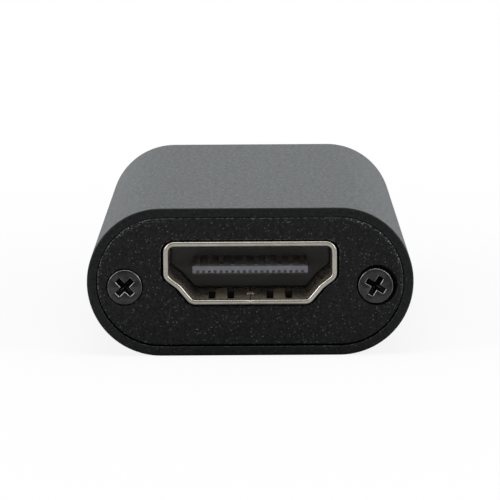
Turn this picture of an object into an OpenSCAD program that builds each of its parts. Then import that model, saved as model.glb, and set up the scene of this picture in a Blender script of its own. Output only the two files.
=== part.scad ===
// Video capture box: an extruded aluminium sleeve closed by two screwed end plates.
// A circuit board in its rails carries a video input socket at the front and a data socket at the rear.
// X is the width, Y runs from the front to the rear, Z is up, and all lengths are millimetres.
// The origin lies on the surface that the box stands on, below the middle of the sleeve.

/* [Sleeve] */
// Overall width across the half-round sides
sleeve_w = 28; // [26:0.5:34]
// Overall height
sleeve_h = 12.7; // [12.4:0.1:16]
// Overall length
sleeve_l = 65; // [59:0.5:90]
// Wall thickness of the extrusion
wall_t = 1; // [0.8:0.05:1.3]
// How far the seat of an end plate is milled into the wall
seat_step = 0.2; // [0.1:0.05:0.4]
// Chamfer round the outer edge of each end
end_chamfer = 0.2; // [0.05:0.05:0.3]

/* [End plates] */
// Thickness of an end plate
plate_t = 1.5; // [1.2:0.1:2]
// How far a plate's face lies behind the end of the sleeve
plate_recess = 0.05; // [0.05:0.05:0.5]
// Gap between a plate's edge and its seat
plate_gap = 0.1; // [0.05:0.01:0.2]
// Chamfer round a plate's outer face
plate_chamfer = 0.12; // [0.05:0.01:0.3]
// Gap between a socket's shell and its opening in the plate
port_gap = 0.16; // [0.15:0.01:0.35]
// How far the socket shells stand out past the ends of the sleeve
port_proud = 0.3; // [0:0.05:0.6]

/* [Screws] */
// Outer diameter of the thread
screw_d = 1.7; // [1.4:0.1:2]
// Overall length of a screw
screw_l = 6; // [4:0.5:10]
// Diameter of the countersunk head
head_d = 3; // [2.6:0.1:3.4]
// Height of the straight rim of the head
head_rim = 0.12; // [0.05:0.01:0.25]
// How far the head stands out of the plate's face
head_proud = 0.08; // [0:0.01:0.1]
// Gap between the head and its countersink, square to the axis
head_gap = 0.05; // [0.03:0.01:0.15]
// Gap between the thread and its hole in the plate
hole_gap = 0.1; // [0.05:0.01:0.2]
// Gap between the thread and the screw channel of the sleeve
thread_gap = 0.03; // [0.02:0.01:0.06]
// Length of the taper at the tip of a screw
tip_l = 0.5; // [0.3:0.1:1]
// Distance from the side of the sleeve to a screw's axis
screw_inset = 3.25; // [3:0.05:4]
// Outer diameter of a screw channel
channel_d = 3; // [2.8:0.1:3.4]
// Width of the slit along a screw channel
channel_slit = 0.6; // [0.4:0.1:1]
// Height of the web between a screw channel and the sleeve's side
channel_web = 1.2; // [0.8:0.1:2]
// Span of the cross recess at the face of the head
cross_span = 1.9; // [1.6:0.1:2.3]
// Span of the cross recess at its floor
cross_floor = 0.7; // [0.5:0.1:1]
// Width of one arm of the cross recess
cross_arm = 0.55; // [0.35:0.05:0.6]
// Depth of the cross recess
cross_depth = 0.75; // [0.5:0.05:0.9]
// Angle of the cross recess of the left and the right front screw
front_turns = [45, 58]; // [0:1:90]
// Angle of the cross recess of the left and the right rear screw
rear_turns = [12, 70]; // [0:1:90]

/* [Circuit board] */
// Thickness of the board
board_t = 1.6; // [1:0.1:1.8]
// Height of the board above the floor of the sleeve
board_gap = 1.75; // [1.5:0.05:2.2]
// Gap between the board and the rails above and below it
board_clear = 0.1; // [0.05:0.05:0.3]
// Gap between the board's edges and the sides of the sleeve
board_side_gap = 0.2; // [0.1:0.05:0.5]
// Gap between the board's ends and the end plates
board_end_gap = 0.25; // [0.1:0.05:0.6]
// How far the lower rails reach under the board
rail_w = 1.2; // [0.8:0.1:2]
// Gap between a thermal pad and the floor of the sleeve
pad_clear = 0.05; // [0.02:0.01:0.2]
// How far the legs of the sockets stand out below the board
leg_proud = 0.6; // [0.3:0.1:1]
// Gap between a leg and its slot in the board
leg_gap = 0.1; // [0.05:0.05:0.2]

/* [Video socket] */
// Width of the opening at its top
video_w = 14; // [13.6:0.1:15]
// Height of the opening
video_h = 4.55; // [4.4:0.05:5]
// Height of the straight sides
video_side_h = 2.5; // [2.2:0.05:2.7]
// Width at the bend of the sloping sides
video_bend_w = 11.9; // [11.4:0.1:12.2]
// Drop from the top of the opening to that bend
video_bend_drop = 3.3; // [3.1:0.05:3.5]
// Width of the floor of the opening
video_low_w = 9.8; // [9:0.1:10.2]
// Radius of the corners of the opening
video_corner_r = 0.5; // [0.3:0.05:0.6]
// Radius at the bend of the sloping sides
video_bend_r = 1.3; // [1.1:0.05:1.6]
// Thickness of the folded shell
video_wall = 0.45; // [0.35:0.05:0.5]
// Length of the shell
video_depth = 11.5; // [11:0.1:13]
// Gap between the shell and the board
video_lift = 0.05; // [0.02:0.01:0.2]
// How far the tip of the tongue lies behind the mouth
video_tip = 1.5; // [0.8:0.1:2.5]
// Thickness of the tongue
video_tongue_t = 1; // [0.8:0.05:1.3]
// Thickness of the block that closes the back of the shell
video_block_t = 2.2; // [1.5:0.1:3]
// Contacts on the upper side of the tongue
video_count = 10; // [6:1:10]
// Spacing of the contacts on one side of the tongue
video_pitch = 1; // [0.9:0.05:1.05]
// Width of one contact
video_contact_w = 0.4; // [0.3:0.05:0.45]

/* [Data socket] */
// Width of the opening
data_w = 12.5; // [12.2:0.1:13.5]
// Height of the opening
data_h = 5.12; // [4.9:0.02:5.4]
// Inner corner radius of the shell
data_corner_r = 0.5; // [0.3:0.05:0.8]
// Thickness of the folded shell
data_wall = 0.3; // [0.25:0.05:0.4]
// Length of the shell
data_depth = 14; // [13:0.1:15]
// Gap between the shell and the board
data_lift = 0.05; // [0.02:0.01:0.2]
// Width of the tongue
data_tongue_w = 11.1; // [10.8:0.1:11.6]
// Thickness of the tongue
data_tongue_t = 1.84; // [1.6:0.02:2]
// Gap between the top of the opening and the tongue
data_tongue_drop = 0.75; // [0.65:0.05:0.9]
// How far the tip of the tongue lies behind the mouth
data_tip = 1.2; // [0.8:0.1:2]
// Thickness of the block that closes the back of the shell
data_block_t = 4; // [3:0.1:5]
// Spacing of the two middle power and signal contacts
data_inner_pitch = 2; // [1.8:0.1:2.2]
// Spacing of the two outer power and signal contacts
data_outer_pitch = 7; // [6.6:0.1:7.4]
// Width of a power or signal contact
data_contact_w = 0.9; // [0.7:0.05:1]
// Distance from the tip of the tongue to the power and signal contacts
data_contact_start = 4.5; // [4:0.1:6]
// Spacing of the five fast contacts
data_fast_pitch = 2; // [1.9:0.05:2.1]
// Width of a fast contact
data_fast_w = 0.6; // [0.5:0.05:0.7]
// Length of the flush end of a fast contact
data_fast_l = 1.2; // [0.8:0.1:1.6]
// Length of the bend from that end to the inside of the tongue
data_fast_bend_l = 0.6; // [0.5:0.1:0.8]

/* [Contacts, springs and legs] */
// Thickness of a contact strip
contact_t = 0.15; // [0.1:0.01:0.2]
// How far the contacts stand out of the tongue
contact_proud = 0.03; // [0.01:0.01:0.06]
// Gap between a contact and its groove
contact_gap = 0.02; // [0.01:0.01:0.04]
// Distance from the tip of a tongue to the ends of its contacts
contact_start = 0.6; // [0.4:0.05:1]
// Bevel at the tip of a tongue
tongue_bevel = 0.2; // [0.1:0.05:0.3]
// Distance from a block to the first row of solder tails behind it
tail_gap = 0.5; // [0.4:0.05:0.7]
// Distance from one row of solder tails to the next
tail_step = 1; // [0.9:0.05:1.2]
// Length of a solder foot on the board
foot_l = 0.6; // [0.4:0.05:0.7]
// Length of the solder foot of a power or signal contact
data_foot_l = 0.3; // [0.2:0.05:0.4]
// Gap between an insulator and its shell
block_gap = 0.03; // [0.01:0.01:0.08]
// Thickness of a spring finger
spring_t = 0.3; // [0.2:0.05:0.3]
// Length of a spring finger from its root
spring_l = 4.6; // [4:0.1:5.5]
// How far a finger's tip stands into the opening
spring_rise = 0.35; // [0.2:0.05:0.4]
// Distance from the mouth of a socket to its spring windows
spring_start = 1; // [0.8:0.1:1.4]
// Gap between a finger and the sides of its window
spring_gap = 0.55; // [0.3:0.05:0.6]
// Gap at the root and at the tip of a finger
spring_end_gap = 0.02; // [0.02:0.01:0.06]
// Distance from a finger's tip to the ridge across it
spring_ridge_back = 0.6; // [0.4:0.05:1]
// Radius of the ridge across a finger
spring_ridge_r = 0.2; // [0.1:0.05:0.25]
// Width of a video finger
video_spring_w = 1.1; // [0.9:0.1:1.4]
// Distance between the video fingers
video_spring_pitch = 5; // [4.4:0.1:5.4]
// Width of a data finger
data_spring_w = 1.6; // [1.2:0.1:2]
// Distance between the data fingers
data_spring_pitch = 6.2; // [5.8:0.1:7]
// Width of a leg along the socket
leg_w = 1.3; // [1:0.1:1.6]
// Distance from the mouth to the middle of the front legs
leg_first = 4.3; // [3.8:0.1:5]
// Distance between the front and the rear legs
leg_pitch = 5.4; // [4.6:0.1:5.8]

/* [Parts on the board] */
// Side of the video receiver chip, as a share of the width between the screw channels
video_chip_share = 0.486; // [0.4:0.002:0.49]
// Height of the video receiver chip
video_chip_h = 0.9; // [0.6:0.1:1.4]
// Side of the bridge chip's carrier, as a share of the width between the screw channels
bridge_chip_share = 0.54; // [0.44:0.005:0.56]
// Height of the bridge chip
bridge_chip_h = 1.1; // [0.9:0.1:1.6]
// Height of the bridge chip's carrier
bridge_carrier_h = 0.35; // [0.2:0.05:0.5]
// Width of the carrier's rim round the bridge chip's moulded cap
bridge_rim_w = 0.3; // [0.2:0.05:0.5]
// Width of the memory chip's body
flash_w = 3.9; // [3.6:0.1:4]
// Length of the memory chip's body
flash_l = 4.9; // [4.6:0.1:5.2]
// Height of the memory chip
flash_h = 1.5; // [1.2:0.1:1.8]
// Width of the memory chip over its leads
flash_span = 5.8; // [5.6:0.1:6]
// Gap between the memory chip's body and the board
flash_lift = 0.1; // [0.05:0.05:0.2]
// Leads on each side of the memory chip
flash_leads_side = 4; // [2:1:4]
// Spacing of the memory chip's leads
flash_pitch = 1.27; // [1:0.01:1.3]
// Width of a lead of the memory chip
flash_lead_w = 0.4; // [0.3:0.05:0.5]
// Gap between the memory chip's leads and the nearer screw channel
flash_clear = 0.15; // [0.1:0.05:0.3]
// Length of a crystal
crystal_l = 3.2; // [2.5:0.1:3.4]
// Width of a crystal
crystal_w = 2.5; // [2:0.1:2.7]
// Height of a crystal
crystal_h = 0.8; // [0.6:0.1:1]
// Side of an inductor
inductor_w = 3.2; // [2.8:0.1:3.4]
// Height of an inductor
inductor_h = 1.8; // [1.2:0.1:2]
// Corner radius of an inductor
inductor_r = 0.6; // [0.3:0.1:0.9]
// Side of a voltage regulator
regulator_w = 2; // [1.8:0.1:2.4]
// Height of a voltage regulator
regulator_h = 0.9; // [0.6:0.1:1]
// Spacing of the voltage regulators
regulator_pitch = 4; // [3.4:0.1:4.2]
// Length of a bulk capacitor
bulk_l = 3.2; // [2.8:0.1:3.4]
// Width of a bulk capacitor
bulk_w = 1.6; // [1.2:0.1:1.8]
// Height of a bulk capacitor
bulk_h = 1.6; // [1:0.1:1.8]
// Spacing of the bulk capacitors
bulk_pitch = 5; // [4.4:0.1:5.4]
// Length of a surge protection array
surge_l = 2.5; // [2:0.1:2.8]
// Width of a surge protection array
surge_w = 1; // [0.8:0.1:1.2]
// Height of a surge protection array
surge_h = 0.55; // [0.4:0.05:0.8]
// Spacing of the surge protection arrays
surge_pitch = 4.5; // [4:0.1:5]
// Length of a small capacitor or resistor
chip_part_l = 1; // [0.8:0.05:1.1]
// Width of a small capacitor or resistor
chip_part_w = 0.5; // [0.4:0.05:0.6]
// Height of a small capacitor
bypass_h = 0.5; // [0.4:0.05:0.6]
// Height of a resistor
resistor_h = 0.35; // [0.25:0.05:0.45]
// Gap between a chip and the small capacitors round it
bypass_gap = 0.5; // [0.3:0.05:0.6]
// Gap between the small capacitors and the nearer screw channel
bypass_clear = 0.4; // [0.2:0.05:0.6]
// Small capacitors along each side of a chip
bypass_count = 3; // [1:1:4]
// Spacing of the small capacitors along a chip
bypass_pitch = 2.4; // [2:0.1:2.6]
// Resistors in a row
resistor_count = 4; // [2:1:4]
// Spacing of the resistors
resistor_pitch = 1.2; // [0.9:0.05:1.3]

/* [Hidden] */
$fn = 64;

front = -1;
rear = 1;
left = -1;
right = 1;
half_turn = 180;
arc_steps = 6;
overlap = 0.02;

// Heights above the surface that the box stands on
middle_z = sleeve_h / 2;
board_bottom_z = wall_t + board_gap;
board_top_z = board_bottom_z + board_t;
screw_z = board_top_z + board_clear + channel_d / 2;
video_floor_z = board_top_z + video_lift + video_wall;
video_tongue_z = video_floor_z + video_h / 2;
data_floor_z = board_top_z + data_lift + data_wall;
data_tongue_top_z = data_floor_z + data_h - data_tongue_drop;
data_tongue_low_z = data_tongue_top_z - data_tongue_t;

// Widths and places across the box
straight_w = sleeve_w - sleeve_h;
screw_x = sleeve_w / 2 - screw_inset;
inner_r = sleeve_h / 2 - wall_t;
board_edge_x = straight_w / 2 + sqrt(inner_r ^ 2 - (middle_z - board_bottom_z) ^ 2) - board_side_gap;
video_tongue_w = video_count * video_pitch;

// Depths, measured inwards from the end of the sleeve
plate_back = plate_recess + plate_t;
board_start = plate_back + board_end_gap;
video_back = video_depth - port_proud;
data_back = data_depth - port_proud;
video_tail_end = video_back + tail_gap + tail_step + foot_l;
data_tail_end = data_back + tail_gap + tail_step + foot_l;

// Screw head and countersink, both at 45 degrees
cone_h = (head_d - screw_d) / 2;
hole_r = screw_d / 2 + hole_gap;
sink_r = head_d / 2 + head_gap + head_rim - head_proud;

// Spring fingers: the root line and the angle at which they stand into the opening
spring_root = spring_start - port_proud + spring_end_gap + spring_t / 2;
spring_angle = asin(spring_rise / spring_l);
window_l = spring_l + spring_t + 2 * spring_end_gap;

// Chips and the parts beside them, placed between the two screw channels
room_w = 2 * screw_x - channel_d;
ring_w = bypass_gap + chip_part_w;
video_chip_w = video_chip_share * room_w;
bridge_chip_w = bridge_chip_share * room_w;
video_chip_x = room_w / 2 - bypass_clear - ring_w - video_chip_w / 2;
bridge_chip_x = room_w / 2 - bypass_clear - ring_w - bridge_chip_w / 2;
side_x = room_w / 2 - flash_clear - flash_span / 2;

// Rows of parts along the board, with equal gaps between the solder tails of the two sockets
rows = [surge_w, video_chip_w + 2 * ring_w, regulator_w, bridge_chip_w + 2 * ring_w, bulk_w];
room_l = sleeve_l - video_tail_end - data_tail_end;
part_gap = (room_l - rows_l(len(rows))) / (len(rows) + 1);

function rows_l(count) = count == 0 ? 0 : rows[count - 1] + rows_l(count - 1);
function row_y(i) = video_tail_end - sleeve_l / 2 + rows_l(i) + (i + 1) * part_gap + rows[i] / 2;

surge_y = row_y(0);
video_chip_y = row_y(1);
regulator_y = row_y(2);
bridge_chip_y = row_y(3);
bulk_y = row_y(4);
video_crystal_y = video_chip_y - video_chip_w / 2 + crystal_w / 2;
flash_y = video_crystal_y + crystal_w / 2 + part_gap + flash_l / 2;
video_resistor_y = flash_y + flash_l / 2 + part_gap + chip_part_l / 2;
bridge_crystal_y = bridge_chip_y + bridge_chip_w / 2 - crystal_w / 2;
first_inductor_y = bridge_crystal_y - crystal_w / 2 - part_gap - inductor_w / 2;
second_inductor_y = first_inductor_y - inductor_w - part_gap;

function unit(v) = v / norm(v);
function outward(a, b) = let(d = unit(b - a)) [d.y, -d.x];

// A counter-clockwise outline with every side moved outwards by d
function grown(points, d) =
    let(n = len(points))
    [for (i = [0:n - 1])
        let(before = outward(points[(i + n - 1) % n], points[i]),
            after = outward(points[i], points[(i + 1) % n]))
        points[i] + d * (before + after) / (1 + before * after)];

// The arc that rounds corner b between its neighbours a and c
function corner_arc(a, b, c, r) =
    let(u = unit(a - b),
        v = unit(c - b),
        half = acos(u * v) / 2,
        centre = b + unit(u + v) * r / sin(half),
        first = b + u * r / tan(half) - centre,
        last = b + v * r / tan(half) - centre,
        start = atan2(first.y, first.x),
        turn = (atan2(last.y, last.x) - start + 3 * half_turn) % (2 * half_turn) - half_turn)
    [for (i = [0:arc_steps])
        let(angle = start + turn * i / arc_steps)
        centre + r * [cos(angle), sin(angle)]];

function rounded(points, radii) =
    let(n = len(points))
    [for (i = [0:n - 1]) each corner_arc(points[(i + n - 1) % n], points[i], points[(i + 1) % n], radii[i])];

// A path of points moved sideways by d, with mitred corners
function beside(path, d) =
    let(last = len(path) - 1,
        sides = [for (i = [0:last - 1]) outward(path[i], path[i + 1])])
    [for (i = [0:last])
        let(before = sides[max(i - 1, 0)],
            after = sides[min(i, last - 1)])
        path[i] + d * (before + after) / (1 + before * after)];

// The edge of a bent strip of thickness t that follows a path
function strip_outline(path, t) =
    let(one = beside(path, t / 2),
        other = beside(path, -t / 2))
    concat(one, [for (i = [len(other) - 1:-1:0]) other[i]]);

// The opening of the video socket, grown by d, wide side up and standing on its floor
function video_outline(d) =
    let(half = [[video_low_w / 2, 0],
                [video_bend_w / 2, video_h - video_bend_drop],
                [video_w / 2, video_h - video_side_h],
                [video_w / 2, video_h]],
        corner_r = video_corner_r + d,
        radii = [corner_r, video_bend_r - d, corner_r, corner_r],
        points = concat(half, [for (i = [3:-1:0]) [-half[i].x, half[i].y]]))
    rounded(grown(points, d), concat(radii, [for (i = [3:-1:0]) radii[i]]));

// Local frame of one end: X across, Y up, Z out of the sleeve, from the plane of its end
module at_end(end) {
    mirror([0, end == rear ? 1 : 0, 0])
        translate([0, -sleeve_l / 2, 0])
            rotate([90, 0, 0])
                children();
}

// Solid from depth a to depth b in an end's frame
module between(a, b) {
    translate([0, 0, -b])
        linear_extrude(b - a)
            children();
}

// Solid of width w along X, from an outline of [depth, height] in an end's frame
module across(w) {
    rotate([0, 90, 0])
        linear_extrude(w, center = true)
            children();
}

module stadium(inset) {
    translate([0, middle_z]) {
        square([straight_w, sleeve_h - 2 * inset], center = true);
        for (side = [left, right])
            translate([side * straight_w / 2, 0])
                circle(r = sleeve_h / 2 - inset);
    }
}

// A chamfer layer in an end's frame: the stadium shrinks by c as it rises by c
module stadium_chamfer(inset, c) {
    r = sleeve_h / 2 - inset;
    translate([0, middle_z, 0]) {
        rotate([90, 0, 90])
            linear_extrude(straight_w, center = true)
                polygon([[-r, 0], [r, 0], [r - c, c], [c - r, c]]);
        for (side = [left, right])
            translate([side * straight_w / 2, 0, 0])
                cylinder(r1 = r, r2 = r - c, h = c);
    }
}

module rounded_box(w, l, h, r) {
    linear_extrude(h) {
        square([w - 2 * r, l], center = true);
        square([w, l - 2 * r], center = true);
        for (x = [-1, 1], y = [-1, 1])
            translate([x * (w / 2 - r), y * (l / 2 - r)])
                circle(r = r);
    }
}

module data_rect(d) {
    w = data_w + 2 * d;
    h = data_h + 2 * d;
    r = data_corner_r + d;
    translate([0, data_floor_z + data_h / 2]) {
        square([w - 2 * r, h], center = true);
        square([w, h - 2 * r], center = true);
        for (x = [-1, 1], y = [-1, 1])
            translate([x * (w / 2 - r), y * (h / 2 - r)])
                circle(r = r);
    }
}

module video_shape(d) {
    translate([0, video_floor_z])
        polygon(video_outline(d));
}

// Box that stands on the board, with its middle at x, y
module on_board(x, y, size, lift = 0) {
    translate([x - size.x / 2, y - size.y / 2, board_top_z + lift])
        cube(size);
}

module sleeve_section() {
    difference() {
        union() {
            difference() {
                stadium(0);
                stadium(wall_t);
            }
            intersection() {
                stadium(wall_t / 2);
                for (side = [0, 1])
                    mirror([side, 0]) {
                        translate([board_edge_x - rail_w, 0])
                            square([sleeve_w / 2, board_bottom_z - board_clear]);
                        translate([screw_x, screw_z])
                            circle(d = channel_d);
                        translate([screw_x, screw_z - channel_web / 2])
                            square([sleeve_w / 2, channel_web]);
                    }
            }
        }
        for (side = [0, 1])
            mirror([side, 0])
                translate([screw_x, screw_z]) {
                    circle(d = screw_d + 2 * thread_gap);
                    translate([-channel_d, -channel_slit / 2])
                        square([channel_d, channel_slit]);
                }
    }
}

module sleeve() {
    trim = end_chamfer + overlap;
    color("#2b2c2f")
        difference() {
            intersection() {
                at_end(front)
                    between(0, sleeve_l)
                        sleeve_section();
                union() {
                    at_end(front)
                        between(trim, sleeve_l - trim)
                            stadium(-overlap);
                    for (end = [front, rear])
                        at_end(end)
                            translate([0, 0, -trim])
                                stadium_chamfer(-overlap, trim);
                }
            }
            for (end = [front, rear])
                at_end(end)
                    between(-overlap, plate_back)
                        stadium(wall_t - seat_step);
        }
}

// End plate without the opening for its socket
module plate_blank() {
    edge = wall_t - seat_step + plate_gap;
    difference() {
        union() {
            between(plate_recess + plate_chamfer, plate_back)
                stadium(edge);
            translate([0, 0, -plate_recess - plate_chamfer])
                stadium_chamfer(edge, plate_chamfer);
        }
        for (side = [left, right])
            translate([side * screw_x, screw_z, -plate_recess]) {
                translate([0, 0, -plate_t - overlap])
                    cylinder(r = hole_r, h = plate_t + 2 * overlap);
                translate([0, 0, hole_r - sink_r])
                    cylinder(r1 = hole_r, r2 = sink_r, h = sink_r - hole_r);
            }
    }
}

module front_plate() {
    color("#1f2022")
        at_end(front)
            difference() {
                plate_blank();
                between(plate_recess - overlap, plate_back + overlap)
                    video_shape(video_wall + port_gap);
            }
}

module rear_plate() {
    color("#1f2022")
        at_end(rear)
            difference() {
                plate_blank();
                between(plate_recess - overlap, plate_back + overlap)
                    data_rect(data_wall + port_gap);
            }
}

// Countersunk screw, pointing inwards, with its cross recess turned by an angle
module plate_screw(end, side, turn) {
    color("#17181a")
        at_end(end)
            translate([side * screw_x, screw_z, head_proud - plate_recess])
                mirror([0, 0, 1])
                    difference() {
                        union() {
                            cylinder(d = head_d, h = head_rim);
                            translate([0, 0, head_rim])
                                cylinder(d1 = head_d, d2 = screw_d, h = cone_h);
                            cylinder(d = screw_d, h = screw_l - tip_l);
                            translate([0, 0, screw_l - tip_l])
                                cylinder(d1 = screw_d, d2 = screw_d - tip_l, h = tip_l);
                        }
                        cross_recess(turn);
                    }
}

module cross_recess(turn) {
    intersection() {
        rotate([0, 0, turn])
            for (arm = [0, 90])
                rotate([0, 0, arm])
                    translate([-cross_span / 2, -cross_arm / 2, -overlap])
                        cube([cross_span, cross_arm, cross_depth + overlap]);
        translate([0, 0, -overlap])
            cylinder(d1 = cross_span, d2 = cross_floor, h = cross_depth + overlap);
    }
}

module front_screw_left() {
    plate_screw(front, left, front_turns[0]);
}

module front_screw_right() {
    plate_screw(front, right, front_turns[1]);
}

module rear_screw_left() {
    plate_screw(rear, left, rear_turns[0]);
}

module rear_screw_right() {
    plate_screw(rear, right, rear_turns[1]);
}

// The four legs of a socket's shell, grown by gap for their slots in the board
module shell_legs(outer_x, leg_t, top_z, gap) {
    for (side = [left, right], y = [leg_first, leg_first + leg_pitch])
        translate([side * (outer_x - leg_t / 2), 0, -(y - port_proud)])
            translate([-leg_t / 2 - gap, board_bottom_z - leg_proud - gap, -leg_w / 2 - gap])
                cube([leg_t + 2 * gap, top_z - board_bottom_z + leg_proud + 2 * gap, leg_w + 2 * gap]);
}

module video_legs(gap) {
    shell_legs(video_w / 2 + video_wall, video_wall, video_floor_z + video_h - video_side_h, gap);
}

module data_legs(gap) {
    shell_legs(data_w / 2 + data_wall, data_wall, data_floor_z + data_corner_r, gap);
}

module circuit_board() {
    length = sleeve_l - 2 * board_start;
    color("#14402c")
        difference() {
            translate([-board_edge_x, -length / 2, board_bottom_z])
                cube([2 * board_edge_x, length, board_t]);
            at_end(front)
                video_legs(leg_gap);
            at_end(rear)
                data_legs(leg_gap);
        }
}

// Two windows for spring fingers, cut through a wall whose inner face is at height z
module spring_windows(pitch, w, z, wall) {
    for (side = [left, right])
        translate([side * pitch / 2, z, -(spring_start - port_proud) - window_l])
            translate([-w / 2 - spring_gap, -wall - overlap, 0])
                cube([w + 2 * spring_gap, wall + 2 * overlap, window_l]);
}

// Two spring fingers that stand up from a root line at height z
module spring_fingers(pitch, w, z) {
    for (side = [left, right])
        translate([side * pitch / 2, z, -spring_root])
            rotate([spring_angle, 0, 0]) {
                across(w) {
                    circle(d = spring_t);
                    translate([0, -spring_t / 2])
                        square([spring_l, spring_t]);
                }
                intersection() {
                    across(w)
                        translate([spring_l - spring_ridge_back, spring_t / 2])
                            circle(r = spring_ridge_r);
                    across(w)
                        translate([0, -spring_t / 2])
                            square([spring_l, spring_l]);
                }
            }
}

module video_shell() {
    color("#c9c4b4")
        at_end(front)
            difference() {
                union() {
                    between(-port_proud, video_back)
                        video_shape(video_wall);
                    video_legs(0);
                }
                between(-port_proud - overlap, video_back + overlap)
                    video_shape(0);
                spring_windows(video_spring_pitch, video_spring_w, video_floor_z, video_wall);
            }
}

module video_springs() {
    color("#b8b4a6")
        at_end(front)
            spring_fingers(video_spring_pitch, video_spring_w, video_floor_z - video_wall / 2);
}

// Side view of one video contact, on the upper side (1) or the lower side (-1) of the tongue
function video_contact_path(side) =
    let(z = video_tongue_z + side * (video_tongue_t / 2 + contact_proud - contact_t / 2),
        tail = video_back + tail_gap + (side > 0 ? tail_step : 0),
        foot_z = board_top_z + contact_t / 2)
    [[video_tip - port_proud + contact_start, z], [tail, z], [tail, foot_z], [tail + foot_l, foot_z]];

// All video contacts, grown by gap for their grooves
module video_contact_rows(gap) {
    for (side = [1, -1])
        let(count = side > 0 ? video_count : video_count - 1)
            for (i = [0:count - 1])
                translate([(i - (count - 1) / 2) * video_pitch, 0, 0])
                    across(video_contact_w + 2 * gap)
                        polygon(strip_outline(video_contact_path(side), contact_t + 2 * gap));
}

// Tongue of a socket: width w, thickness t and its middle at height z, from its bevelled tip to its block
module tongue(w, t, z, tip_back, block_back) {
    start = tip_back - port_proud;
    shoulder = start + tongue_bevel;
    end = block_back - overlap;
    face = t / 2 - tongue_bevel;
    across(w)
        translate([0, z])
            polygon([[shoulder, -t / 2], [end, -t / 2], [end, t / 2],
                [shoulder, t / 2], [start, face], [start, -face]]);
}

module video_insulator() {
    color("#3a3a42")
        at_end(front)
            difference() {
                union() {
                    between(video_back - video_block_t, video_back)
                        video_shape(-block_gap);
                    tongue(video_tongue_w, video_tongue_t, video_tongue_z, video_tip, video_back);
                }
                video_contact_rows(contact_gap);
            }
}

module video_contacts() {
    color("#c8a24a")
        at_end(front)
            video_contact_rows(0);
}

module data_shell() {
    color("#c9c9c6")
        at_end(rear)
            difference() {
                union() {
                    between(-port_proud, data_back)
                        data_rect(data_wall);
                    data_legs(0);
                }
                between(-port_proud - overlap, data_back + overlap)
                    data_rect(0);
                for (z = [data_floor_z, data_floor_z + data_h + data_wall])
                    spring_windows(data_spring_pitch, data_spring_w, z, data_wall);
            }
}

module data_springs_lower() {
    color("#b9b9b6")
        at_end(rear)
            spring_fingers(data_spring_pitch, data_spring_w, data_floor_z - data_wall / 2);
}

module data_springs_upper() {
    color("#b9b9b6")
        at_end(rear)
            translate([0, data_floor_z + data_h + data_wall / 2, 0])
                mirror([0, 1, 0])
                    spring_fingers(data_spring_pitch, data_spring_w, 0);
}

// Side view of a power or signal contact along the underside of the data tongue
function data_contact_path() =
    let(z = data_tongue_low_z - contact_proud + contact_t / 2,
        start = data_tip - port_proud + data_contact_start,
        tail = data_back + tail_gap,
        foot_z = board_top_z + contact_t / 2)
    [[start, z], [tail, z], [tail, foot_z], [tail + data_foot_l, foot_z]];

// Side view of a fast contact: flush near the tip, then inside the tongue
function data_fast_path() =
    let(flush_z = data_tongue_low_z - contact_proud + contact_t / 2,
        inner_z = (data_tongue_low_z + data_tongue_top_z) / 2,
        start = data_tip - port_proud + contact_start,
        bend = start + data_fast_l,
        tail = data_back + tail_gap + tail_step,
        foot_z = board_top_z + contact_t / 2)
    [[start, flush_z], [bend, flush_z], [bend + data_fast_bend_l, inner_z],
        [tail, inner_z], [tail, foot_z], [tail + foot_l, foot_z]];

module data_contact_rows(gap) {
    for (side = [left, right], pitch = [data_inner_pitch, data_outer_pitch])
        translate([side * pitch / 2, 0, 0])
            across(data_contact_w + 2 * gap)
                polygon(strip_outline(data_contact_path(), contact_t + 2 * gap));
    for (i = [-2:2])
        translate([i * data_fast_pitch, 0, 0])
            across(data_fast_w + 2 * gap)
                polygon(strip_outline(data_fast_path(), contact_t + 2 * gap));
}

module data_insulator() {
    tongue_z = data_tongue_low_z + data_tongue_t / 2;
    color("#1e58b0")
        at_end(rear)
            difference() {
                union() {
                    between(data_back - data_block_t, data_back)
                        data_rect(-block_gap);
                    tongue(data_tongue_w, data_tongue_t, tongue_z, data_tip, data_back);
                }
                data_contact_rows(contact_gap);
            }
}

module data_contacts() {
    color("#c8a24a")
        at_end(rear)
            data_contact_rows(0);
}

module video_chip() {
    color("#202124")
        on_board(-video_chip_x, video_chip_y, [video_chip_w, video_chip_w, video_chip_h]);
}

module bridge_chip() {
    cap_w = bridge_chip_w - 2 * bridge_rim_w;
    color("#202124") {
        on_board(bridge_chip_x, bridge_chip_y, [bridge_chip_w, bridge_chip_w, bridge_carrier_h]);
        on_board(bridge_chip_x, bridge_chip_y, [cap_w, cap_w, bridge_chip_h]);
    }
}

module flash_chip() {
    color("#232427")
        on_board(side_x, flash_y, [flash_w, flash_l, flash_h], flash_lift);
}

// Leads bent down from the middle of the memory chip's sides to the board
module flash_leads() {
    lead_z = board_top_z + flash_lift + flash_h / 2;
    foot_z = board_top_z + contact_t / 2;
    bend = (flash_w + flash_span) / 4;
    path = [[flash_w / 2, lead_z], [bend, lead_z], [bend, foot_z], [flash_span / 2, foot_z]];
    color("#b9bbbd")
        for (side = [0, 1], i = [0:flash_leads_side - 1])
            translate([side_x, flash_y + (i - (flash_leads_side - 1) / 2) * flash_pitch, 0])
                mirror([side, 0, 0])
                    rotate([90, 0, 0])
                        linear_extrude(flash_lead_w, center = true)
                            polygon(strip_outline(path, contact_t));
}

module video_crystal() {
    color("#c2c4c6")
        on_board(side_x, video_crystal_y, [crystal_l, crystal_w, crystal_h]);
}

module bridge_crystal() {
    color("#c2c4c6")
        on_board(-side_x, bridge_crystal_y, [crystal_l, crystal_w, crystal_h]);
}

module inductors() {
    color("#4a4b4e")
        for (y = [first_inductor_y, second_inductor_y])
            translate([-side_x, y, board_top_z])
                rounded_box(inductor_w, inductor_w, inductor_h, inductor_r);
}

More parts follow.
